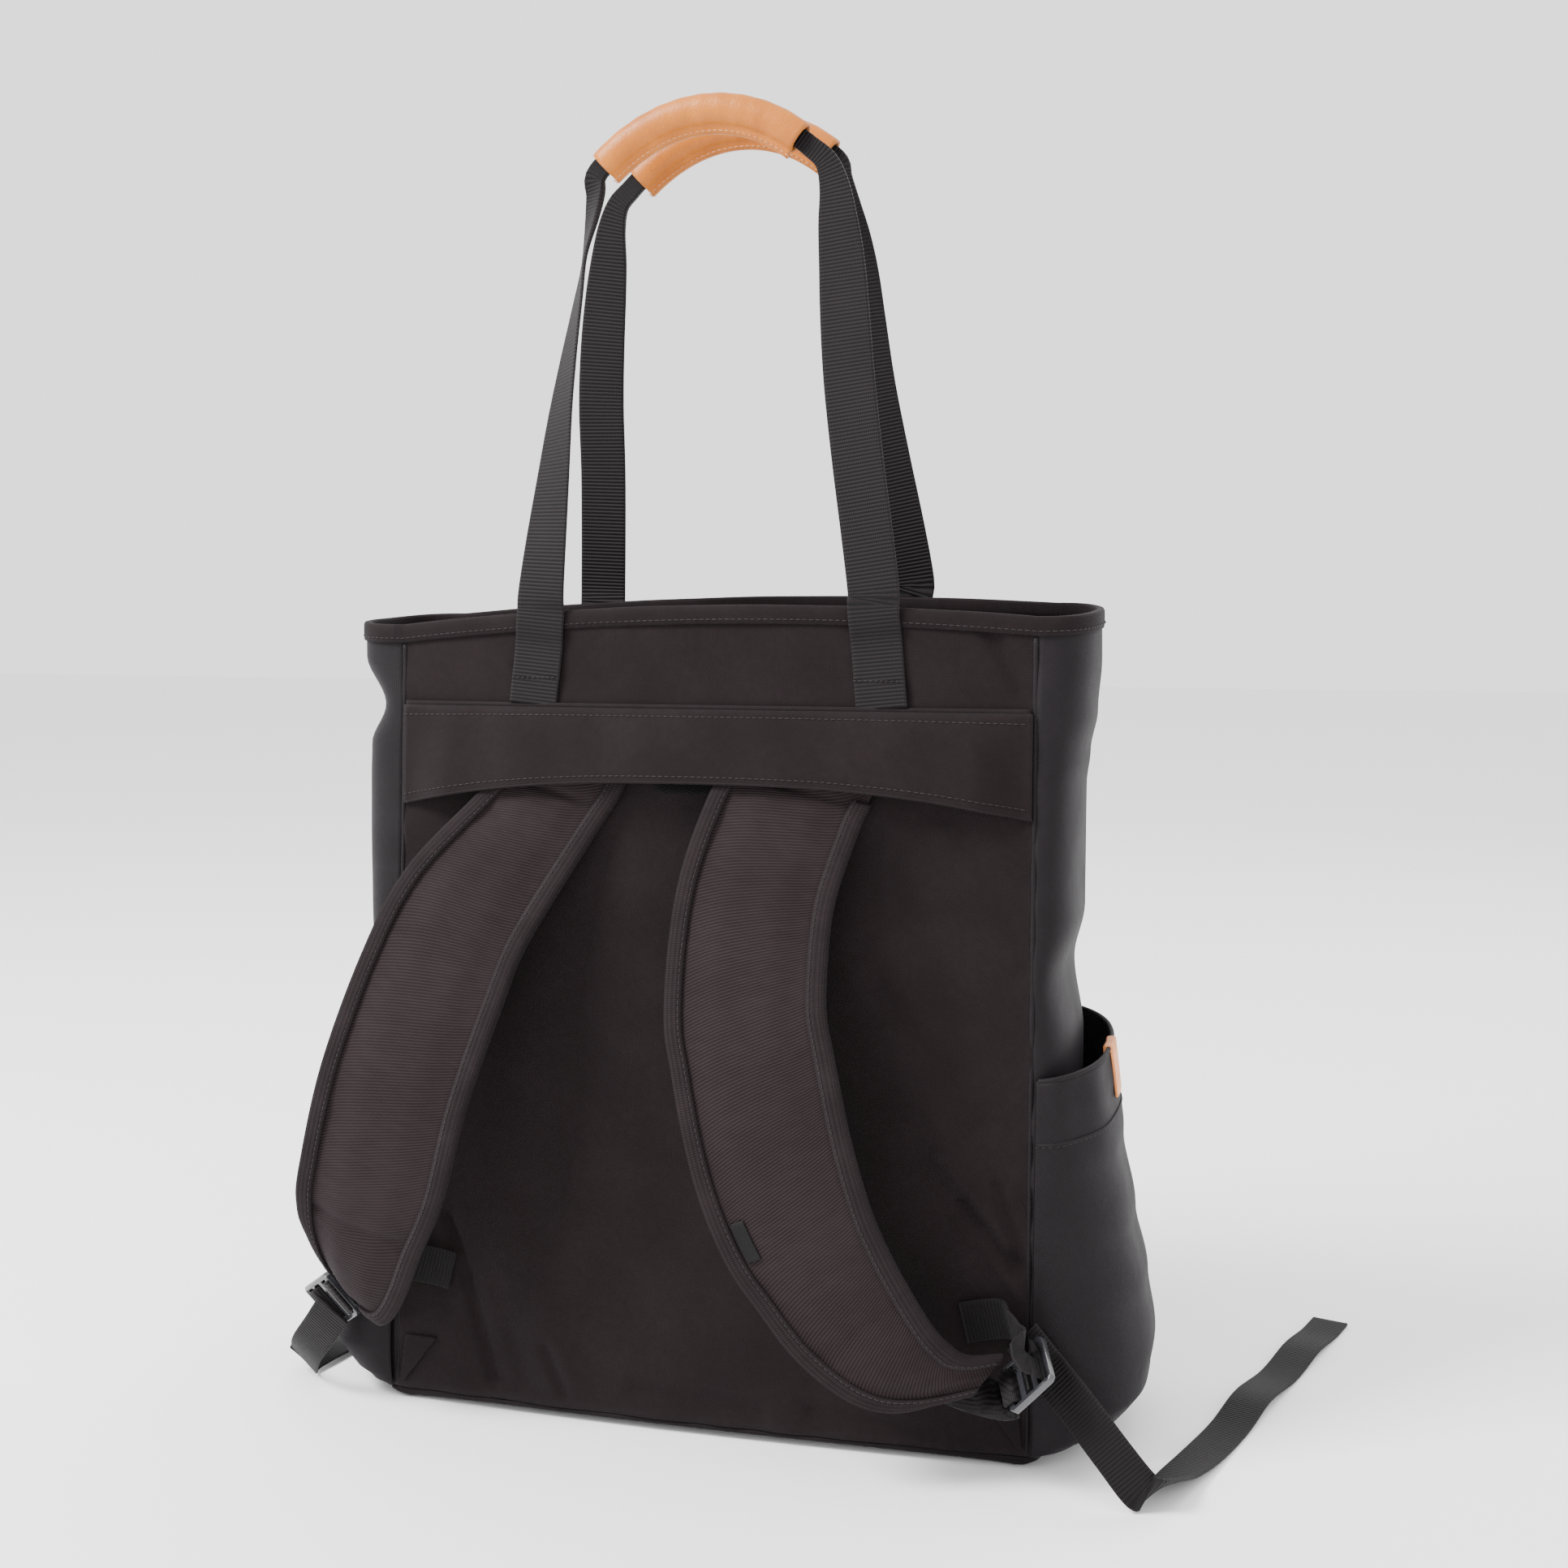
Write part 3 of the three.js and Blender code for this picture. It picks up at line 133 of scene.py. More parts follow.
def dents_at(dents, t, rise):
    depth = 0.0
    for from_side, from_rise, to_side, to_rise, span, deep in dents:
        run_x = (to_side - from_side) * PANEL_WIDTH
        run_z = (to_rise - from_rise) * RIM_HEIGHT
        x = (t - from_side) * PANEL_WIDTH
        z = (rise - from_rise) * RIM_HEIGHT
        length = math.hypot(run_x, run_z)
        along = (x * run_x + z * run_z) / length
        aside = abs(x * run_z - z * run_x) / length
        past = max(0.0, -along, along - length)
        if aside + past < 4 * span:
            depth += deep * math.exp(-(aside ** 2 + past ** 2) / span ** 2)
    return depth


def soft_dents(dents, t, rise):
    return dents_at(dents, t, rise) * ease(t / 0.1) * ease((1 - t) / 0.1) * ease(rise / 0.05)


def bag_outline(side, t, height):
    """The bag's outline at a height, seen from above: t runs anticlockwise along each side."""
    rise = height / RIM_HEIGHT
    near = -BASE_DEPTH / 2 + BACK_LEAN * rise
    far = BASE_DEPTH / 2 - (BASE_DEPTH - MOUTH_DEPTH - BACK_LEAN) * rise
    half = (PANEL_WIDTH + BASE_FLARE * (1 - rise)) / 2
    camber = PANEL_CAMBER * (1 - (2 * t - 1) ** 2)
    if side == "back":
        shade = ease((YOKE_SEAM - YOKE_DROP - height) / (2 * YOKE_ARC))
        over = ease((height - YOKE_SEAM) / YOKE_ARC)
        dent = soft_dents(BACK_DENTS, t, rise) * max(shade, over * 0.5)
        return Vector((half * (2 * t - 1), near - camber + dent))
    if side == "front":
        return Vector((half * (1 - 2 * t), far + camber - soft_dents(FRONT_DENTS, t, rise)))
    angle = math.pi * (t - 0.5)
    bulge = GUSSET_BULGE * between(GUSSET_ROWS, rise, 1 if side == "right" else 2)
    out = half + bulge * max(0.0, math.cos(angle)) ** GUSSET_SQUARENESS
    share = math.copysign(abs(math.sin(angle)) ** GUSSET_SQUARENESS, math.sin(angle))
    deep = (far - near) / 2 * share
    middle = (near + far) / 2
    return Vector((out, middle + deep)) if side == "right" else Vector((-out, middle - deep))


def on_bag(side, t, height, out=0.0):
    here = bag_outline(side, t, height)
    ahead = bag_outline(side, min(1, t + 2e-3), height)
    behind = bag_outline(side, max(0, t - 2e-3), height)
    run = (ahead - behind).normalized()
    return Vector((here.x + run.y * out, here.y - run.x * out, height))


def off_bag(side, t, height):
    return (on_bag(side, t, height, 1.0) - on_bag(side, t, height)).normalized()


def new_group(name, inputs, outputs):
    group = bpy.data.node_groups.new(name, "ShaderNodeTree")
    for way, sockets in (("INPUT", inputs), ("OUTPUT", outputs)):
        for label, kind in sockets:
            group.interface.new_socket(label, in_out=way, socket_type=f"NodeSocket{kind}")
    entry = group.nodes.new("NodeGroupInput").outputs
    leave = group.nodes.new("NodeGroupOutput").inputs
    return group, entry, leave


def sum_of(tree, operation, first, second):
    made = tree.nodes.new("ShaderNodeMath")
    made.operation = operation
    for socket, value in zip(made.inputs, (first, second)):
        if isinstance(value, (int, float)):
            socket.default_value = value
        else:
            tree.links.new(value, socket)
    return made.outputs[0]


def scaled(tree, vector, scale):
    made = tree.nodes.new("ShaderNodeVectorMath")
    made.operation = "SCALE"
    tree.links.new(vector, made.inputs[0])
    if isinstance(scale, (int, float)):
        made.inputs["Scale"].default_value = scale
    else:
        tree.links.new(scale, made.inputs["Scale"])
    return made.outputs[0]


def threads(tree, vector, direction):
    """Parallel threads, one to each unit of the vector."""
    wave = tree.nodes.new("ShaderNodeTexWave")
    wave.bands_direction = direction
    wave.inputs["Scale"].default_value = math.pi / 10
    tree.links.new(vector, wave.inputs["Vector"])
    return wave.outputs["Fac"]


def clouds(tree, vector, size, detail=3.0):
    cloud = tree.nodes.new("ShaderNodeTexNoise")
    cloud.inputs["Scale"].default_value = 1.0
    cloud.inputs["Detail"].default_value = detail
    tree.links.new(scaled(tree, vector, 1 / size), cloud.inputs["Vector"])
    return cloud.outputs["Fac"]


def shade_between(tree, share, dark, light):
    made = tree.nodes.new("ShaderNodeMix")
    made.data_type = "RGBA"
    tree.links.new(share, made.inputs[0])
    tree.links.new(dark, made.inputs[6])
    tree.links.new(light, made.inputs[7])
    return made.outputs[2]


def stretched(tree, share, low, high):
    made = tree.nodes.new("ShaderNodeMapRange")
    made.inputs["From Min"].default_value = low
    made.inputs["From Max"].default_value = high
    tree.links.new(share, made.inputs["Value"])
    return made.outputs["Result"]


weave_group, entry, leave = new_group(
    "woven_cloth",
    [("Place", "Vector"), ("Dark", "Color"), ("Light", "Color"), ("Threads", "Float"), ("Twill", "Float"),
     ("Relief", "Float")],
    [("Color", "Color"), ("Height", "Float")])
fine_place = scaled(weave_group, entry["Place"], entry["Threads"])
warp = threads(weave_group, fine_place, "X")
weft = threads(weave_group, fine_place, "Y")
plain = sum_of(weave_group, "MULTIPLY", warp, weft)
ribbed = sum_of(weave_group, "MULTIPLY", sum_of(weave_group, "SUBTRACT", warp, plain), entry["Twill"])
grain = sum_of(weave_group, "ADD", plain, ribbed)
patches = sum_of(weave_group, "MULTIPLY", clouds(weave_group, entry["Place"], 45), 0.42)
specks = sum_of(weave_group, "MULTIPLY", clouds(weave_group, entry["Place"], 4, 2.0), 0.2)
share = sum_of(weave_group, "ADD", sum_of(weave_group, "MULTIPLY", grain, 0.42),
               sum_of(weave_group, "ADD", patches, specks))
weave_group.links.new(shade_between(weave_group, stretched(weave_group, share, 0.3, 0.7), entry["Dark"],
                                    entry["Light"]), leave["Color"])
rumple = sum_of(weave_group, "MULTIPLY", clouds(weave_group, entry["Place"], 30, 4.0), 1.6)
weave_group.links.new(sum_of(weave_group, "ADD", sum_of(weave_group, "MULTIPLY", grain, entry["Relief"]),
                             rumple), leave["Height"])

wear_group, entry, leave = new_group(
    "edge_wear", [("Color", "Color"), ("Worn", "Color"), ("Place", "Vector"), ("Amount", "Float")],
    [("Color", "Color")])
edges = stretched(wear_group, wear_group.nodes.new("ShaderNodeNewGeometry").outputs["Pointiness"], 0.51, 0.62)
rubbed = sum_of(wear_group, "MULTIPLY", edges, clouds(wear_group, entry["Place"], 5))
wear_group.links.new(shade_between(wear_group, sum_of(wear_group, "MULTIPLY", rubbed, entry["Amount"]),
                                   entry["Color"], entry["Worn"]), leave["Color"])


def finish(name, group, source, turn, roughness, bump, worn, wear, **values):
    """A material with one of the grain groups, edge wear over it, and a bump from its height."""
    material = bpy.data.materials.new(name)
    material.use_nodes = True
    tree = material.node_tree
    shader = tree.nodes["Principled BSDF"]
    place = tree.nodes.new("ShaderNodeTexCoord")
    mapping = tree.nodes.new("ShaderNodeMapping")
    scale = 1.0 if source == "UV" else 1 / MM
    mapping.inputs["Scale"].default_value = (scale, scale, scale)
    mapping.inputs["Rotation"].default_value = (0 if source == "UV" else -math.pi / 2, 0, math.radians(turn))
    tree.links.new(place.outputs[source], mapping.inputs["Vector"])
    grain_node = tree.nodes.new("ShaderNodeGroup")
    grain_node.node_tree = group
    for label, value in values.items():
        grain_node.inputs[label].default_value = (*value, 1) if isinstance(value, tuple) else value
    worn_node = tree.nodes.new("ShaderNodeGroup")
    worn_node.node_tree = wear_group
    worn_node.inputs["Worn"].default_value = (*worn, 1)
    worn_node.inputs["Amount"].default_value = wear
    bump_node = tree.nodes.new("ShaderNodeBump")
    bump_node.inputs["Strength"].default_value = 0.6
    bump_node.inputs["Distance"].default_value = bump * MM
    rough = tree.nodes.new("ShaderNodeMapRange")
    rough.inputs["To Min"].default_value = roughness - 0.08
    rough.inputs["To Max"].default_value = roughness + 0.08
    tree.links.new(mapping.outputs["Vector"], grain_node.inputs["Place"])
    tree.links.new(mapping.outputs["Vector"], worn_node.inputs["Place"])
    tree.links.new(grain_node.outputs["Color"], worn_node.inputs["Color"])
    tree.links.new(worn_node.outputs["Color"], shader.inputs["Base Color"])
    tree.links.new(grain_node.outputs["Height"], bump_node.inputs["Height"])
    tree.links.new(grain_node.outputs["Height"], rough.inputs["Value"])
    tree.links.new(rough.outputs["Result"], shader.inputs["Roughness"])
    tree.links.new(bump_node.outputs["Normal"], shader.inputs["Normal"])
    return material, shader


def black_cloth(name, dark, light, threads_per_mm, turn, relief, source="UV", roughness=0.72, twill=0.0,
                sheen=0.02, shine=0.1):
    material, shader = finish(name, weave_group, source, turn, roughness, 1.0, (0.03, 0.026, 0.027), 0.35,
                              Dark=dark, Light=light, Threads=threads_per_mm, Twill=twill, Relief=relief)
    shader.inputs["Sheen Weight"].default_value = sheen
    shader.inputs["Sheen Roughness"].default_value = 0.5
    shader.inputs["Sheen Tint"].default_value = (0.9, 0.86, 0.95, 1)
    shader.inputs["Specular IOR Level"].default_value = shine
    return material


def make_piece(name, points, faces, material, replaced=(), uv=None):
    mesh = bpy.data.meshes.new(name)
    mesh.from_pydata([Vector(p) * MM for p in points], [], faces)
    if uv is not None:
        layer = mesh.uv_layers.new(name="lengths")
        for loop in mesh.loops:
            layer.data[loop.index].uv = uv[loop.vertex_index]
    mesh.materials.append(material)
    mesh.shade_smooth()
    made = bpy.data.objects.new(name, mesh)
    bpy.context.collection.objects.link(made)
    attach(made, "root")
    if replaced:
        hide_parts(*replaced)
    return made


def cut_cloth(name, surface, across, up, thickness, material, replaced=()):
    """Cloth of one thickness over a surface, with texture lengths measured along it."""
    points = [[surface(u, v) for u in across] for v in up]
    width = len(across)
    lengths = []
    above = [0.0] * width
    for j, line in enumerate(points):
        run = 0.0
        for i, point in enumerate(line):
            if i:
                run += (point - line[i - 1]).length
            if j:
                above[i] += (point - points[j - 1][i]).length
            lengths.append((run, above[i]))
    faces = []
    for j in range(len(up) - 1):
        for i in range(width - 1):
            a = j * width + i
            faces.append((a, a + 1, a + 1 + width, a + width))
    cloth = make_piece(name, [p for line in points for p in line], faces, material, replaced, lengths)
    wall = cloth.modifiers.new("wall", "SOLIDIFY")
    wall.thickness = thickness * MM
    wall.offset = -1
    return cloth


def seam_pucker(t, height, width):
    aside = min(t, 1 - t) * width
    beside = math.exp(-aside / 9) * math.sin(height / 5.1 + 1.3 * math.sin(height / 23))
    foot = math.exp((BASE_SEAM - height) / 8) * math.sin(t * width / 6.3 + 2 * math.sin(t * width / 31))
    return 0.34 * beside + 0.4 * foot


def bag_wall(name, side, columns, material, width):
    def surface(u, v):
        t = mix(0.0006, 0.9994, u)
        height = mix(BASE_SEAM, rim_top(side, t) - RIM_TUCK, v)
        rise = height / RIM_HEIGHT
        out = seam_pucker(t, height, width)
        out += 0.6 * noise.noise(Vector((t * width / 38, height / 46, 3.1 if side == "back" else 9.7)))
        if side == "back":
            under = ease((YOKE_SEAM - YOKE_DROP - 6 - height) / 12)
            free = max(under, ease((height - YOKE_SEAM - 2) / 8))
            creased = dents_at(BACK_CREASES, t, rise)
            out = (out - creased * (CREASE_SINKS if creased > 0 else CREASE_STANDS)) * free
        return on_bag(side, t, height, out)
    cut_cloth(name, surface, steps(columns), steps(WALL_ROWS), FABRIC, material, [name])


panel_nylon = black_cloth("panel_nylon", (0.0048, 0.0028, 0.0031), (0.0122, 0.0074, 0.0084), 1.05, 45, 0.22)
# The gusset nylon is a darker, glossier copy of the panel nylon with a bluish tint painted into its colour: a
# painted bluish sheen, carried onto the seams and pockets cut from it too
gusset_nylon_painted_blue_sheen = black_cloth("gusset_nylon_painted_blue_sheen", (0.0035, 0.0022, 0.0030), (0.0086, 0.0059, 0.0078), 1.05, 45, 0.2,
                           roughness=0.56, shine=0.13)
bag_wall("back_panel", "back", 150, panel_nylon, PANEL_WIDTH)
bag_wall("front_panel", "front", 100, panel_nylon, PANEL_WIDTH)
bag_wall("gusset_right", "right", 64, gusset_nylon_painted_blue_sheen, BASE_DEPTH)
bag_wall("gusset_left", "left", 64, gusset_nylon_painted_blue_sheen, BASE_DEPTH)


# Upright seams: where two walls meet, their edges are sewn together into a narrow round ridge.
# The same thin roll of cloth runs along the yoke and the pockets further down.
SEAM_STEPS = 150
SEAM_SINK = 0.15


def loft(name, sections, lengths, material, replaced=(), closed=False):
    size = len(sections[0])
    count = len(sections)
    points = [p for section in sections for p in section]
    uv = [(lengths[1][k], lengths[0][s]) for s in range(count) for k in range(size)]
    faces = []
    for s in range(count if closed else count - 1):
        near = s * size
        far = ((s + 1) % count) * size
        for k in range(size):
            faces.append((near + k, near + (k + 1) % size, far + (k + 1) % size, far + k))
    if not closed:
        faces.append(tuple(range(size))[::-1])
        faces.append(tuple((count - 1) * size + k for k in range(size)))
    made = make_piece(name, points, faces, material, replaced, uv)
    solid = bmesh.new()
    solid.from_mesh(made.data)
    bmesh.ops.recalc_face_normals(solid, faces=solid.faces)
    solid.to_mesh(made.data)
    solid.free()
    made.data.shade_smooth()
    return made


def rolled_edge(name, path, wide, tall, material):
    """A thin roll of cloth along a path of (centre, direction out, direction across)."""
    sections = [[centre + out * (wide * math.cos(a)) + across * (tall * math.sin(a))
                 for a in [k * math.pi / 4 for k in range(8)]] for centre, out, across in path]
    run = [0.0]
    for (a, _, _), (b, _, _) in zip(path, path[1:]):
        run.append(run[-1] + (b - a).length)
    loft(name, sections, (run, [k * (wide + tall) * 0.4 for k in range(8)]), material)


for seam, side, t in (("back_right", "back", 0.9985), ("back_left", "back", 0.0015),
                      ("front_right", "front", 0.0015), ("front_left", "front", 0.9985)):
    ridge = []
    for share in steps(SEAM_STEPS):
        height = mix(BASE_SEAM + 0.5, rim_top(side, t) - 10, share)
        out = off_bag(side, t, height)
        ridge.append((on_bag(side, t, height, 0.12 * math.sin(height / 4.7) - SEAM_SINK), out,
                      Vector((out.y, -out.x, 0))))
    rolled_edge(f"seam_{seam}", ridge, 0.75, 1.1, gusset_nylon_painted_blue_sheen)


# Base and corner tabs: the base is a padded panel of the same nylon, rolled up to the seam, and a
# small folded triangle of cloth is caught in the side seam at each near corner.
def dressed_copy(node, name, material, levels=2, sharp=40):
    """A rounder copy of a node's own solid, with its sharp edges kept."""
    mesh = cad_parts[node].data.copy()
    solid = bmesh.new()
    solid.from_mesh(mesh)
    bmesh.ops.remove_doubles(solid, verts=solid.verts, dist=1e-6)
    bmesh.ops.join_triangles(solid, faces=solid.faces, angle_face_threshold=0.5, angle_shape_threshold=1.2)
    crease = solid.edges.layers.float.get("crease_edge") or solid.edges.layers.float.new("crease_edge")
    for edge in solid.edges:
        if edge.is_manifold and edge.calc_face_angle(0) > math.radians(sharp):
            edge[crease] = 0.85
    solid.to_mesh(mesh)
    solid.free()
    mesh.name = name
    mesh.materials.clear()
    mesh.materials.append(material)
    mesh.shade_smooth()
    made = bpy.data.objects.new(name, mesh)
    bpy.context.collection.objects.link(made)
    if levels:
        rounder = made.modifiers.new("rounder", "SUBSURF")
        rounder.levels = levels
        rounder.render_levels = levels
    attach(made, "root")
    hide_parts(node)
    return made


# A copy of the wall nylon painted about a fifth darker: painted shade for the base, the corner tabs and the
# closure's mate, which sit low down or covered
nylon_painted_shade = black_cloth("nylon_painted_shade", (0.0040, 0.0025, 0.0027), (0.0099, 0.0061, 0.0070), 1.05, 45, 0.25,
                          source="Object")
dressed_copy("base_panel", "base_cloth", nylon_painted_shade, 1)
dressed_copy("corner_tab_right", "corner_cloth_right", nylon_painted_shade)
dressed_copy("corner_tab_left", "corner_cloth_left", nylon_painted_shade)


# Hem round the mouth: the nylon is folded over the rim and held by one row of stitches, with a
# slight pleat and wave along its top.
def stitch_row(name, path, material, pitch=3.2, thickness=0.6, lift=0.15):
    """Separate thread stitches along a path of (point, direction out)."""
    marks = []
    total = 0.0
    for (p, n), (q, m) in zip(path, path[1:]):
        gap = (q - p).length
        while total <= gap and gap > 0:
            share = total / gap
            marks.append((p.lerp(q, share), n.lerp(m, share).normalized(), (q - p).normalized()))
            total += pitch
        total -= gap
    points = []
    faces = []
    for centre, out, along in marks:
        side = along.cross(out)
        base = len(points)
        for s, wide, sink in ((-0.5, 0.35, 0.25), (-0.3, 1, 0), (0.3, 1, 0), (0.5, 0.35, 0.25)):
            for k in range(6):
                angle = k * math.pi / 3
                rise = lift + math.cos(angle) * thickness / 2 * wide - sink
                points.append(centre + along * (s * pitch * 0.78) + out * rise
                              + side * (math.sin(angle) * thickness / 2 * wide))
        for r in range(3):
            for k in range(6):
                a = base + r * 6 + k
                b = base + r * 6 + (k + 1) % 6
                faces.append((a, b, b + 6, a + 6))
        faces.append(tuple(base + k for k in range(6))[::-1])
        faces.append(tuple(base + 18 + k for k in range(6)))
    make_piece(name, points, faces, material)


black_thread = black_cloth("black_thread", (0.0120, 0.0098, 0.0104), (0.042, 0.0350, 0.0370), 2.0, 40, 0.2,
                           source="Object", roughness=0.5)
HEM_PROFILE = [
    (1.25, -9.0), (1.5, -7.0), (1.55, -4.0), (1.5, -1.2), (1.0, -0.1), (0.0, 0.12), (-1.2, 0.12),
    (-2.3, -0.1), (-2.85, -1.2), (-2.9, -5.0), (-2.7, -9.0), (-2.0, -9.0), (-2.0, -1.1), (0.35, -1.1),
    (0.35, -9.0),
]
HEM_AROUND = [0, 2, 5, 8, 9, 10, 11, 12, 13, 17, 21, 22, 30, 31, 39]
HEM_STITCH_DROP = 6.8
HEM_STITCH_STAND = 1.55
hem_sections = []
hem_run = []
hem_path = []
length = 0.0
for side, count, width in (("back", 90, PANEL_WIDTH), ("right", 40, 100), ("front", 90, PANEL_WIDTH),
                           ("left", 40, 100)):
    for t in steps(count)[:-1]:
        top = rim_top(side, t)
        wave = 0.25 * math.sin(length / 9) + 0.2 * math.sin(length / 21)
        hem_sections.append([
            on_bag(side, t, top + drop, out + (wave * 0.3 if out > 0.9 else 0))
            + Vector((0, 0, 0.2 * wave if drop > -6 else 0)) for out, drop in HEM_PROFILE])
        hem_path.append((on_bag(side, t, top - HEM_STITCH_DROP, HEM_STITCH_STAND), off_bag(side, t, top)))
        hem_run.append(length)
        length += width / count
loft("rim_band", hem_sections, (hem_run, HEM_AROUND), panel_nylon, ["rim_hem"], closed=True)
stitch_row("rim_stitches", hem_path + hem_path[:1], black_thread)


# Yoke: a flap of nylon over the strap tops, sewn down along its top edge, with a row of stitches
# along each edge. A hook-and-loop patch closes it in the middle.
YOKE_STAND = 1.5
YOKE_LIFT = 9.9
YOKE_FABRIC = 1.4


def yoke_surface(u, v):
    low = YOKE_SEAM - YOKE_DROP - YOKE_ARC * abs(2 * u - 1) ** 2.6
    ends = ease(min(u, 1 - u) / 0.09)
    lift = YOKE_LIFT * (1 - v) ** 0.6 * ends
    wave = (0.5 * math.sin(u * 34 + 2 * v) + 1.4 * v * math.sin(u * 61 + 4 * v)) * (1 - v) * ends
    out = CLEARANCE + YOKE_STAND + lift + wave
    return on_bag("back", mix(0.004, 0.996, u), mix(low, YOKE_SEAM, v), out)


def yoke_line(v, rise=0.0):
    return [(yoke_surface(u, v) + Vector((0, 0, rise)), off_bag("back", u, YOKE_SEAM))
            for u in [mix(0.004, 0.996, k / 160) for k in range(161)]]


hook_loops = black_cloth("hook_loops", (0.0015, 0.0015, 0.0015), (0.006, 0.0055, 0.0055), 0.7, 20, 0.9,
                         source="Object", roughness=0.9)
cut_cloth("yoke_flap", yoke_surface, steps(150), steps(26), YOKE_FABRIC, panel_nylon,
          ["yoke_band"])
stitch_row("yoke_edge_stitches", yoke_line(0.09), black_thread)
stitch_row("yoke_seam_stitches", yoke_line(0.9), black_thread)
upwards = Vector((0, 0, 1))
seam_roll = [(point + Vector((0, 0.6, 0)), out, upwards) for point, out in yoke_line(1, 0.8)]
lower_roll = [(point - out * 0.6, out, upwards) for point, out in yoke_line(0, 0.3)]
rolled_edge("yoke_seam_roll", seam_roll, 0.8, 1.3, panel_nylon)
rolled_edge("yoke_lower_roll", lower_roll, 0.9, 0.8, panel_nylon)
dressed_copy("closure_patch", "closure_hooks", hook_loops)
# The mate is cut from the nylon painted darker as painted shade
dressed_copy("closure_mate", "closure_loops", nylon_painted_shade)


# Side pockets: full at the foot and standing open at the lip, with a deep stitched hem. The right
# one has a folded leather tab over the middle of its lip.
POCKET_HEIGHT = 185
POCKET_RISE = 16
POCKET_BULGE = 37
POCKET_ROWS = [(0.0, 0.0), (0.012, 0.4), (0.045, 0.72), (0.12, 0.94), (0.22, 1.0), (0.38, 0.9), (0.55, 0.74),
               (0.75, 0.56), (0.9, 0.45), (1.0, 0.38)]
POCKET_HEM = 32
POCKET_FABRIC = 1.3
POCKET_STAND = 1.4


def on_pocket(side, t, share, extra=0.0):
    swell = max(0.0, math.sin(math.pi * t)) ** 1.2
    out = CLEARANCE + POCKET_STAND + POCKET_BULGE * swell * between(POCKET_ROWS, share, 1)
    height = mix(BASE_SEAM + CLEARANCE, POCKET_HEIGHT + POCKET_RISE * t, share)
    soft = ease(share / 0.15) * ease(t / 0.12) * ease((1 - t) / 0.12)
    crumple = 1.3 * noise.noise(Vector((t * 3.4, share * 1.9, 1.7 if side == "right" else 6.2)))
    hem_wave = 0.5 * math.sin(t * 30 + share * 5) * ease((share - 0.72) / 0.2) * ease((1 - share) / 0.03)
    return on_bag(side, t if side == "right" else 1 - t, height, out + extra + (crumple + hem_wave) * soft)


leather_group, entry, leave = new_group(
    "leather_grain", [("Place", "Vector"), ("Dark", "Color"), ("Light", "Color")],
    [("Color", "Color"), ("Height", "Float")])
tone = stretched(leather_group, clouds(leather_group, entry["Place"], 18, 4.0), 0.25, 0.75)
leather_group.links.new(shade_between(leather_group, tone, entry["Dark"], entry["Light"]), leave["Color"])
pores = leather_group.nodes.new("ShaderNodeTexVoronoi")
pores.inputs["Scale"].default_value = 1.1
leather_group.links.new(entry["Place"], pores.inputs["Vector"])
pitted = sum_of(leather_group, "MULTIPLY", pores.outputs["Distance"], 0.4)
wrinkled = clouds(leather_group, entry["Place"], 3.5, 4.0)
leather_group.links.new(sum_of(leather_group, "ADD", wrinkled, pitted), leave["Height"])


def leather(name, dark, light, source, wear):
    material, shader = finish(name, leather_group, source, 0, 0.4, 0.4, (0.30, 0.13, 0.05), wear,
                              Dark=dark, Light=light)
    shader.inputs["Specular IOR Level"].default_value = 0.25
    return material


for side in ("right", "left"):
    def cloth_surface(u, v):
        return on_pocket(side, mix(0.02, 0.98, u if side == "right" else 1 - u), v)
    rows = [0, 0.004, 0.01, 0.02, 0.035, 0.055, 0.08] + [mix(0.11, 1, share) for share in steps(60)]
    cut_cloth(f"pocket_cloth_{side}", cloth_surface, steps(72), rows, POCKET_FABRIC, gusset_nylon_painted_blue_sheen,
              [f"side_pocket_{side}"])
    hem_share = 1 - POCKET_HEM / POCKET_HEIGHT
    hem_line = []
    hem_roll = []
    lip_roll = []
    for t in [mix(0.03, 0.97, share) for share in steps(100)]:
        on_hem = on_pocket(side, t, hem_share)
        out = (on_pocket(side, t, hem_share, 1.0) - on_hem).normalized()
        hem_line.append((on_hem, out))
        hem_roll.append((on_hem + upwards, out, upwards))
        lip_roll.append((on_pocket(side, t, 1) - out * 0.7, out, upwards))
    stitch_row(f"pocket_stitches_{side}", hem_line, black_thread)
    rolled_edge(f"pocket_hem_roll_{side}", hem_roll, 0.55, 0.9, gusset_nylon_painted_blue_sheen)
    rolled_edge(f"pocket_lip_roll_{side}", lip_roll, 1.15, 1.2, gusset_nylon_painted_blue_sheen)
tab_leather = leather("tab_leather", (0.60, 0.20, 0.060), (0.80, 0.31, 0.11), "Object", 0.5)
dressed_copy("pocket_tab", "leather_tab", tab_leather)


# Shoulder straps: thick padding between two layers of coarse twill nylon, bound along both edges
# with folded tape. They arch clear of the back panel and narrow towards their ladder locks.
STRAP_HEIGHT = 343
STRAP_REACH = 170
STRAP_BOW = 51
STRAP_WIDTH = 78
STRAP_PADDING = 10
STRAP_EDGE = 3.4
STRAP_STEPS = 150
BINDING_WIDTH = 9
# the binding starts this many steps down, where the strap comes out from under the yoke
BINDING_START = 15
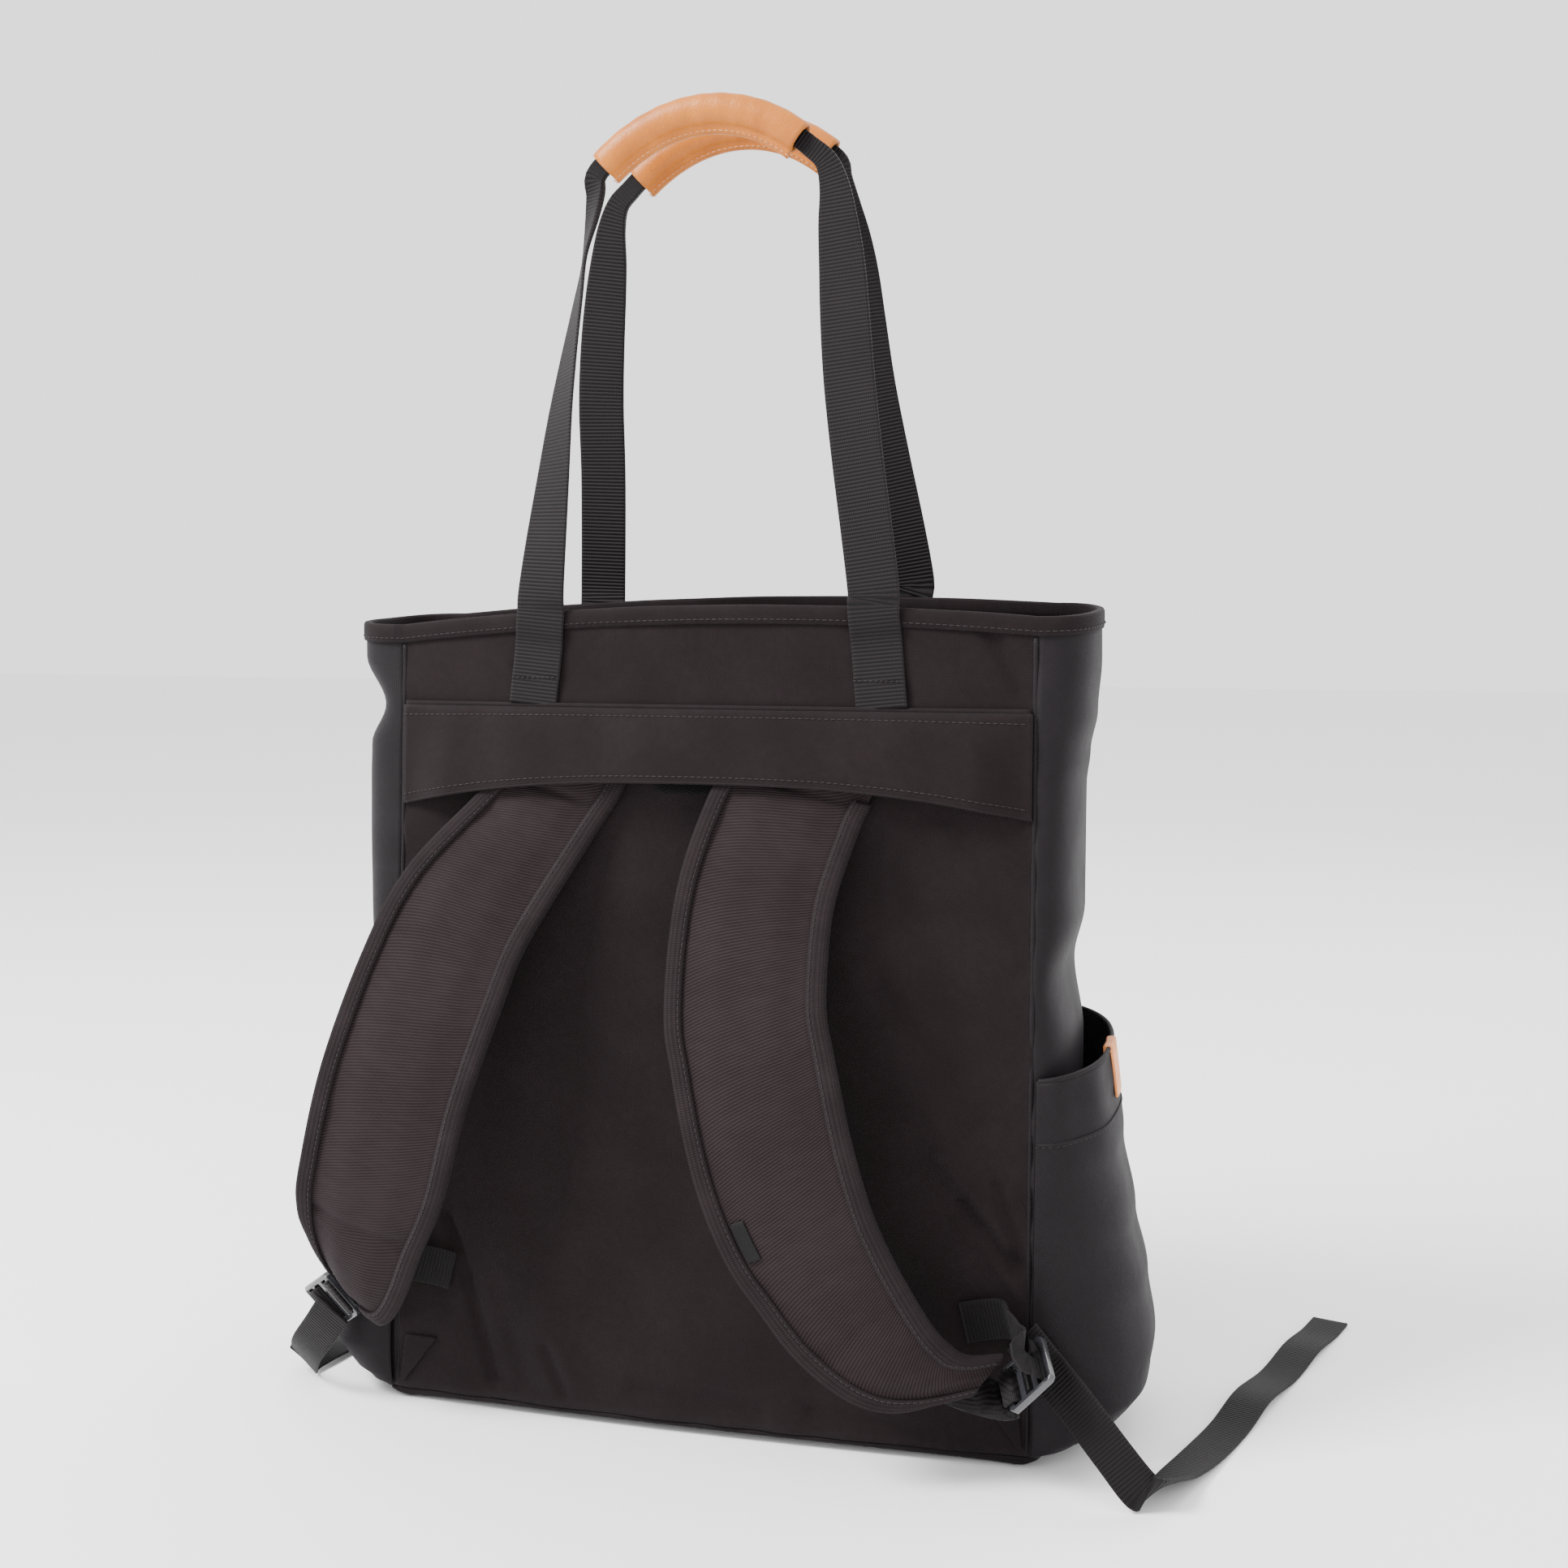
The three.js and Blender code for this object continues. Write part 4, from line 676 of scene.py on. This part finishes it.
# side, height, stand, width, padding and edge as shares, slant and turn in degrees
STRAP_ROWS = {
    "right": [
        (0.335, 1.0, 0.116, 0.9, 0.22, 0.5, -3, 0), (0.3, 0.945, 0.145, 0.92, 0.5, 0.75, -8, 0),
        (0.25, 0.9, 0.204, 0.95, 0.85, 1, -17, 1), (0.19, 0.785, 0.463, 0.98, 1, 1, -8, 0),
        (0.19, 0.649, 0.773, 1.0, 1, 1, 6.7, 1.5), (0.224, 0.57, 0.896, 1.0, 1, 1, 10, 2.3),
        (0.288, 0.45, 0.984, 1.0, 1, 1, 22, 3.2), (0.364, 0.351, 1.0, 0.945, 1, 1, 23.5, 4.2),
        (0.44, 0.289, 0.992, 0.87, 1, 1, 28, 5.8), (0.516, 0.234, 0.945, 0.81, 1, 1, 36, 7),
        (0.612, 0.183, 0.88, 0.69, 0.9, 1, 42, 9), (0.693, 0.159, 0.79, 0.55, 0.8, 1, 47, 12),
        (0.776, 0.155, 0.68, 0.36, 0.65, 0.9, 53, 16), (0.868, 0.16, 0.56, 0.31, 0.5, 0.8, 50, 24),
    ],
    "left": [
        (-0.385, 1.0, 0.112, 0.86, 0.22, 0.5, 0, 0), (-0.42, 0.945, 0.137, 0.84, 0.5, 0.75, -10, -2),
        (-0.49, 0.89, 0.172, 0.8, 0.8, 0.8, -22, -1), (-0.67, 0.76, 0.475, 0.95, 1, 1, -28, -5),
        (-0.746, 0.657, 0.737, 1.0, 1, 1, -18, -3), (-0.84, 0.507, 0.905, 1.0, 1, 1, -13, 0),
        (-0.911, 0.368, 0.89, 0.98, 1, 1, -9, 2), (-0.965, 0.29, 0.808, 0.87, 0.95, 1, -22, 4),
        (-1.012, 0.213, 0.66, 0.76, 0.8, 1, -46, 9), (-1.035, 0.19, 0.56, 0.46, 0.5, 0.8, -50, 9),
    ],
}
# share of the strap's length, span and depth of each crease across it
STRAP_CREASES = {
    "right": [(0.105, 0.010, 1.7), (0.185, 0.012, 1.4), (0.60, 0.02, 0.8), (0.71, 0.014, 0.9)],
    "left": [(0.17, 0.012, 1.6), (0.25, 0.012, 0.9), (0.765, 0.014, 1.7), (0.60, 0.02, 0.7)],
}


def smooth(values, at):
    last = len(values) - 1
    far = min(0.999999, max(0.0, at)) * last
    i = int(far)
    t = far - i
    b, c = values[i], values[i + 1]
    a = values[i - 1] if i > 0 else 2 * b - c
    d = values[i + 2] if i + 2 <= last else 2 * c - b
    return b + (c - a + (2 * a - 5 * b + 4 * c - d + (3 * (b - c) + d - a) * t) * t) * (0.5 * t)


def strap_place(columns, at):
    height = STRAP_HEIGHT * smooth(columns[1], at)
    plane = -BASE_DEPTH / 2 + BACK_LEAN * height / RIM_HEIGHT
    return Vector((STRAP_REACH * smooth(columns[0], at), plane - STRAP_BOW * smooth(columns[2], at), height))


def strap_part(columns, at):
    slant = math.radians(smooth(columns[6], at))
    turn = math.radians(smooth(columns[7], at))
    across = Vector((math.cos(slant) * math.cos(turn), math.cos(slant) * math.sin(turn), math.sin(slant)))
    tangent = (strap_place(columns, at + 0.01) - strap_place(columns, at - 0.01)).normalized()
    padding = STRAP_PADDING * smooth(columns[4], at)
    return {
        "centre": strap_place(columns, at), "across": across, "out": tangent.cross(across).normalized(),
        "half": STRAP_WIDTH * smooth(columns[3], at) / 2, "padding": padding,
        "rim": min(STRAP_EDGE * smooth(columns[5], at), padding) / 2,
    }


def in_strap(part, aside, out):
    return part["centre"] + part["across"] * aside + part["out"] * out


def padding_at(part, inset):
    return mix(part["rim"], part["padding"] / 2, ease((inset - BINDING_WIDTH) / (part["half"] * 0.5)))


def strap_pad(hand, parts, run):
    sections = []
    for at, part in zip(steps(STRAP_STEPS), parts):
        half = part["half"] - 1.6
        asides = [half * math.cos(math.pi * k / 22) for k in range(23)]
        sink = sum(depth * math.exp(-((at - place) / span) ** 2)
                   for place, span, depth in STRAP_CREASES[hand])
        front = []
        for aside in asides:
            middle = 1 - (aside / half) ** 2
            lump = noise.noise(Vector((aside / 22, at * 14, 2.0 if hand == "left" else 5.0)))
            soft = padding_at(part, part["half"] - abs(aside)) + 0.45 * middle * lump
            dip = sink * (0.3 + 0.7 * middle) * (1 + 0.4 * math.sin(aside / 9 + at * 40))
            front.append(in_strap(part, aside, max(soft - dip, 0.4 * soft)))
        back = [in_strap(part, s, -padding_at(part, part["half"] - abs(s))) for s in reversed(asides)]
        sections.append(front + back)
    around = [STRAP_WIDTH / 46 * k for k in range(23)] + [STRAP_WIDTH / 46 * (45 - k) for k in range(23)]
    pad = loft(f"strap_pad_{hand}", sections, (run, around), strap_nylon,
               [f"shoulder_strap_{hand}"])


def strap_tape(hand, tape, sign, parts, run):
    sections = []
    stitched = []
    for at, part in list(zip(steps(STRAP_STEPS), parts))[BINDING_START:]:
        rim = part["rim"] + 0.6
        reach = min(BINDING_WIDTH, part["half"] * 0.45)
        slope = padding_at(part, reach) - part["rim"]
        half = part["half"]
        deep = half - reach
        wave = 0.12 * math.sin(at * 300 + sign)
        face = [(deep, rim + slope + 0.75 + wave), (deep + reach * 0.35, rim + slope * 0.5 + 1.05),
                (deep + reach * 0.75, rim + 0.95), (half - 0.5, rim + 0.55)]
        edge = [(half, rim * 0.55), (half + 0.1, 0), (half, -rim * 0.55)]
        inner = [(deep, -rim - slope + 0.2), (half - 1.1, -rim + 0.35), (half - 1.1, rim - 0.35),
                 (deep, rim + slope - 0.2)]
        profile = face + edge + [(s, -n) for s, n in reversed(face)] + inner
        sections.append([in_strap(part, sign * s, n) for s, n in profile])
        stitched.append((in_strap(part, sign * (deep + 1.6), rim + slope + 0.85), part["out"]))
    around = [k * 1.5 for k in range(len(profile))]
    loft(f"strap_tape_{hand}_{tape}", sections, (run[BINDING_START:], around), binding_weave,
         [f"strap_binding_{hand}_{tape}"])
    stitch_row(f"strap_stitches_{hand}_{tape}", stitched, black_thread, 3.0, 0.55)


strap_nylon = black_cloth("strap_nylon", (0.0066, 0.0041, 0.0045), (0.0195, 0.0125, 0.0138), 0.85, 52, 0.4,
                          twill=0.8, sheen=0.03)
binding_weave = black_cloth("binding_weave", (0.0056, 0.0035, 0.0040), (0.0173, 0.0113, 0.0126), 1.0, 0, 0.35)
label_satin = black_cloth("label_satin", (0.0035, 0.0032, 0.0032), (0.009, 0.0082, 0.0082), 2.0, 0, 0.15,
                          source="Object", roughness=0.42)
for hand, rows in STRAP_ROWS.items():
    columns = list(zip(*rows))
    parts = [strap_part(columns, at) for at in steps(STRAP_STEPS)]
    run = [0.0]
    for a, b in zip(parts, parts[1:]):
        run.append(run[-1] + (b["centre"] - a["centre"]).length)
    strap_pad(hand, parts, run)
    strap_tape(hand, "a", -1, parts, run)
    strap_tape(hand, "b", 1, parts, run)
dressed_copy("strap_label", "strap_label_cloth", label_satin)


# Webbing: heavy ribbed nylon tape for the two handles, which are caught in the yoke seam and sewn
# down below the hem, and a narrower tape for the strap ends, anchors and adjusters.
HANDLE_PLACE = 88
SHORT_CAP_EDGE = 1.7
LONG_CAP_EDGE = 15
TAPE_PROFILE = [
    (-0.5, 0), (-0.488, 0.42), (-0.45, 0.5), (-0.38, 0.46), (0, 0.44), (0.38, 0.46), (0.45, 0.5),
    (0.488, 0.42), (0.5, 0), (0.488, -0.42), (0.45, -0.5), (0.38, -0.46), (0, -0.44), (-0.38, -0.46),
    (-0.45, -0.5), (-0.488, -0.42),
]


def tape_rings(node, end):
    """The cross sections of a node's tape, from the end nearest to a point."""
    solid = bmesh.new()
    solid.from_mesh(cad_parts[node].data)
    bmesh.ops.remove_doubles(solid, verts=solid.verts, dist=1e-6)
    caps = []
    for face in solid.faces:
        lengths = sorted(edge.calc_length() / MM for edge in face.edges)
        if lengths[0] < SHORT_CAP_EDGE and lengths[1] > LONG_CAP_EDGE:
            caps.append(face)
    first = min(caps, key=lambda face: (face.calc_center_median() / MM - Vector(end)).length)
    longest = max(first.edges, key=lambda edge: edge.calc_length())
    ring = {v for face in longest.link_faces for v in face.verts}
    seen = set(ring)
    rings = []
    while ring:
        rings.append([v.co / MM for v in sorted(ring, key=lambda v: v.index)])
        ring = {edge.other_vert(v) for v in ring for edge in v.link_edges} - seen
        seen |= ring
    solid.free()
    return rings


def tape(name, node, end, material, finer=3):
    centres = []
    crossings = []
    sizes = []
    for ring in tape_rings(node, end):
        centre = sum(ring, Vector()) / len(ring)
        far = max(ring, key=lambda p: (p - centre).length) - centre
        a, b, c, d = sorted(ring, key=lambda p: (p - centre).dot(far))
        across = (c + d - a - b) / 2
        if crossings and across.dot(crossings[-1]) < 0:
            across = -across
        centres.append(centre)
        crossings.append(across.normalized())
        sizes.append((across.length, (d - c).length))
    count = finer * (len(centres) - 1)
    axes = list(zip(*centres))
    turns = list(zip(*crossings))
    widths, depths = zip(*sizes)
    sections = []
    run = [0.0]
    last = None
    for at in steps(count):
        centre = Vector([smooth(axis, at) for axis in axes])
        ahead = Vector([smooth(axis, at + 0.3 / count) for axis in axes])
        behind = Vector([smooth(axis, at - 0.3 / count) for axis in axes])
        tangent = (ahead - behind).normalized()
        across = Vector([smooth(turn, at) for turn in turns])
        across = (across - tangent * across.dot(tangent)).normalized()
        out = tangent.cross(across)
        if last is not None:
            run.append(run[-1] + (centre - last).length)
        last = centre
        width, depth = smooth(widths, at), smooth(depths, at)
        sections.append([centre + across * (s * width) + out * (n * depth) for s, n in TAPE_PROFILE])
    made = loft(name, sections, (run, [25 * (s + 0.5) for s, n in TAPE_PROFILE]), material, [node])
    return made, run[-1]


rib_group, entry, leave = new_group(
    "ribbed_tape", [("Place", "Vector"), ("Dark", "Color"), ("Light", "Color"), ("Ribs", "Float")],
    [("Color", "Color"), ("Height", "Float")])
ribs = threads(rib_group, scaled(rib_group, entry["Place"], entry["Ribs"]), "Y")
ends = sum_of(rib_group, "MULTIPLY", threads(rib_group, scaled(rib_group, entry["Place"], 1.1), "X"), 0.3)
shade = sum_of(rib_group, "MULTIPLY", clouds(rib_group, entry["Place"], 30), 0.35)
share = sum_of(rib_group, "ADD", sum_of(rib_group, "MULTIPLY", ribs, 0.5),
               sum_of(rib_group, "ADD", sum_of(rib_group, "MULTIPLY", ends, 0.5), shade))
rib_group.links.new(shade_between(rib_group, stretched(rib_group, share, 0.3, 0.7), entry["Dark"],
                                  entry["Light"]), leave["Color"])
rib_group.links.new(sum_of(rib_group, "ADD", ribs, ends), leave["Height"])


def black_webbing(name, dark, light, ribs_per_mm, source="UV"):
    material, shader = finish(name, rib_group, source, 0, 0.6, 0.5, (0.035, 0.03, 0.031), 0.4,
                              Dark=dark, Light=light, Ribs=ribs_per_mm)
    shader.inputs["Sheen Weight"].default_value = 0.02
    shader.inputs["Specular IOR Level"].default_value = 0.12
    return material


handle_tape = black_webbing("handle_tape", (0.0015, 0.0010, 0.0012), (0.0088, 0.0061, 0.0070), 0.55)
narrow_shades = ((0.0009, 0.0006, 0.0007), (0.0054, 0.0040, 0.0043))
adjuster_tape = black_webbing("adjuster_tape", *narrow_shades, 0.56)
sewn_tape = black_webbing("sewn_tape", *narrow_shades, 0.56, "Object")
tape("near_handle_tape", "handle_near", (-90, -50, 358), handle_tape, 4)
tape("far_handle_tape", "handle_far", (90, 38, 358), handle_tape, 4)
for hand, sign in (("right", 1), ("left", -1)):
    dressed_copy(f"buckle_loop_{hand}", f"strap_end_tape_{hand}", sewn_tape, 1)
    tape(f"anchor_tape_{hand}", f"strap_anchor_{hand}", (sign * 130, -67, 69), adjuster_tape)
    sewn_end = (sign * 175, -75, 60)
    tail, tail_length = tape(f"adjuster_tape_{hand}", f"adjuster_{hand}", sewn_end, adjuster_tape)
for label, side, facing in (("near", "back", 1), ("far", "front", -1)):
    for hand, sign in (("left", -1), ("right", 1)):
        row = []
        for k in range(9):
            aside = sign * HANDLE_PLACE * 0.983 + mix(-11.5, 11.5, k / 8)
            t = 0.5 + facing * aside / PANEL_WIDTH
            row.append((on_bag(side, t, 371.5, 2.25), off_bag(side, t, 371.5)))
        stitch_row(f"handle_stitches_{label}_{hand}", row, black_thread, 2.6, 0.6, 0.1)


# Grips: a strip of tan leather wrapped round each handle's folded webbing. Its two edges meet
# below in a flange with a row of tan stitches on each face.
GRIP_LENGTH = 108
GRIP_ARCH = 21
GRIP_TILT = 4
HANDLE_RISE = 241


def on_grip(middle, depth, share):
    s = 2 * share - 1
    height = RIM_HEIGHT + HANDLE_RISE - GRIP_ARCH * s * s - 2 * s ** 4 + GRIP_TILT * s
    return Vector((middle + GRIP_LENGTH / 2 * s, depth, height))


def grip(label, middle, depth):
    sections = []
    run = [0.0]
    seams = {"back": [], "front": []}
    last = None
    for k in range(73):
        at = mix(0.035, 0.965, k / 72)
        centre = on_grip(middle, depth, at)
        tangent = (on_grip(middle, depth, at + 0.01) - on_grip(middle, depth, at - 0.01)).normalized()
        up = Vector((-tangent.z, 0, tangent.x))
        if last is not None:
            run.append(run[-1] + (centre - last).length)
        last = centre
        squeeze = 1 - 0.05 * math.exp(-min(k, 72 - k) / 3) + 0.012 * math.sin(k * 0.9)
        outer = []
        for j in range(25):
            angle = math.radians(mix(165, -165, j / 24))
            outer.append((math.cos(angle) * 8.0 * squeeze, math.sin(angle) * 6.2 * squeeze))
        outer += [(-9.2, -1.5), (-11.3, -1.35), (-11.45, 0), (-11.3, 1.35), (-9.2, 1.5)]
        bore = [(math.cos(math.radians(turn)) * 6.5, math.sin(math.radians(turn)) * 4.7)
                for turn in range(-170, 171, 20)]
        sections.append([centre + up * h + Vector((0, w, 0)) for h, w in outer + bore])
        for face, sign in (("back", 1), ("front", -1)):
            seams[face].append((centre - up * 9.9 + Vector((0, sign * 1.5, 0)), Vector((0, sign, 0))))
    loft(f"grip_leather_{label}", sections, (run, [k * 1.4 for k in range(len(sections[0]))]), grip_leather,
         [f"grip_{label}"])
    for face, path in seams.items():
        stitch_row(f"grip_stitches_{label}_{face}", path, tan_thread, 3.0, 0.7)


grip_leather = leather("grip_leather", (0.34, 0.092, 0.006), (0.50, 0.155, 0.014), "UV", 0.6)
tan_thread = leather("tan_thread", (0.35, 0.14, 0.05), (0.62, 0.27, 0.11), "Object", 0.2)
grip("near", -10, -21)
grip("far", -4, 15)


# Ladder locks: moulded frames of glossy black plastic, one at the end of each strap. The webbing
# runs round their bars, and their edges are softened as the mould leaves them.
lock_plastic, shader = finish("lock_plastic", leather_group, "Object", 0, 0.2, 0.1, (0.10, 0.10, 0.11), 0.4,
                              Dark=(0.012, 0.012, 0.014), Light=(0.022, 0.022, 0.026))
shader.inputs["Specular IOR Level"].default_value = 0.6
shader.inputs["Coat Weight"].default_value = 0.4
for hand in ("right", "left"):
    lock = dressed_copy(f"ladder_lock_{hand}", f"lock_frame_{hand}", lock_plastic, 0)
    soften = lock.modifiers.new("soften", "BEVEL")
    soften.width = 0.9 * MM
    soften.segments = 4
    soften.limit_method = "ANGLE"


# Floor and light: a wide sheet of pale paper under an even white studio, with one stronger lamp
# above to the left of the bag, a weak one to its right and one behind it.
FLOOR_REACH = 8
FLOOR_DROP = 0.0006
floor_paper = bpy.data.materials.new("floor_paper")
floor_paper.use_nodes = True
floor_paper.node_tree.nodes["Principled BSDF"].inputs["Base Color"].default_value = (0.92, 0.92, 0.92, 1)
floor_paper.node_tree.nodes["Principled BSDF"].inputs["Roughness"].default_value = 0.8
floor_mesh = bpy.data.meshes.new("floor")
floor_corners = [
    (FLOOR_REACH * x, FLOOR_REACH * y, -FLOOR_DROP) for x, y in ((-1, -1), (1, -1), (1, 1), (-1, 1))]
floor_mesh.from_pydata(floor_corners, [], [(0, 1, 2, 3)])
floor_mesh.materials.append(floor_paper)
floor = bpy.data.objects.new("floor", floor_mesh)
bpy.context.collection.objects.link(floor)
studio = bpy.data.worlds.new("studio")
studio.use_nodes = True
studio.node_tree.nodes["Background"].inputs["Color"].default_value = (1, 1, 1, 1)
studio.node_tree.nodes["Background"].inputs["Strength"].default_value = 1.9
bpy.context.scene.world = studio


def softbox(name, place, aim, width, height, power):
    data = bpy.data.lights.new(name, "AREA")
    data.shape = "RECTANGLE"
    data.size = width
    data.size_y = height
    data.energy = power
    light = bpy.data.objects.new(name, data)
    light.location = place
    light.rotation_euler = (Vector(aim) - Vector(place)).to_track_quat("-Z", "Y").to_euler()
    bpy.context.collection.objects.link(light)


softbox("key", (-1.3, -1.0, 1.9), (0, 0, 0.3), 0.8, 0.8, 120)
softbox("fill", (1.8, -0.9, 1.0), (0.1, 0, 0.2), 1.0, 1.6, 8)
softbox("back_light", (0.9, 1.4, 1.6), (0, 0, 0.3), 1.0, 1.0, 16)
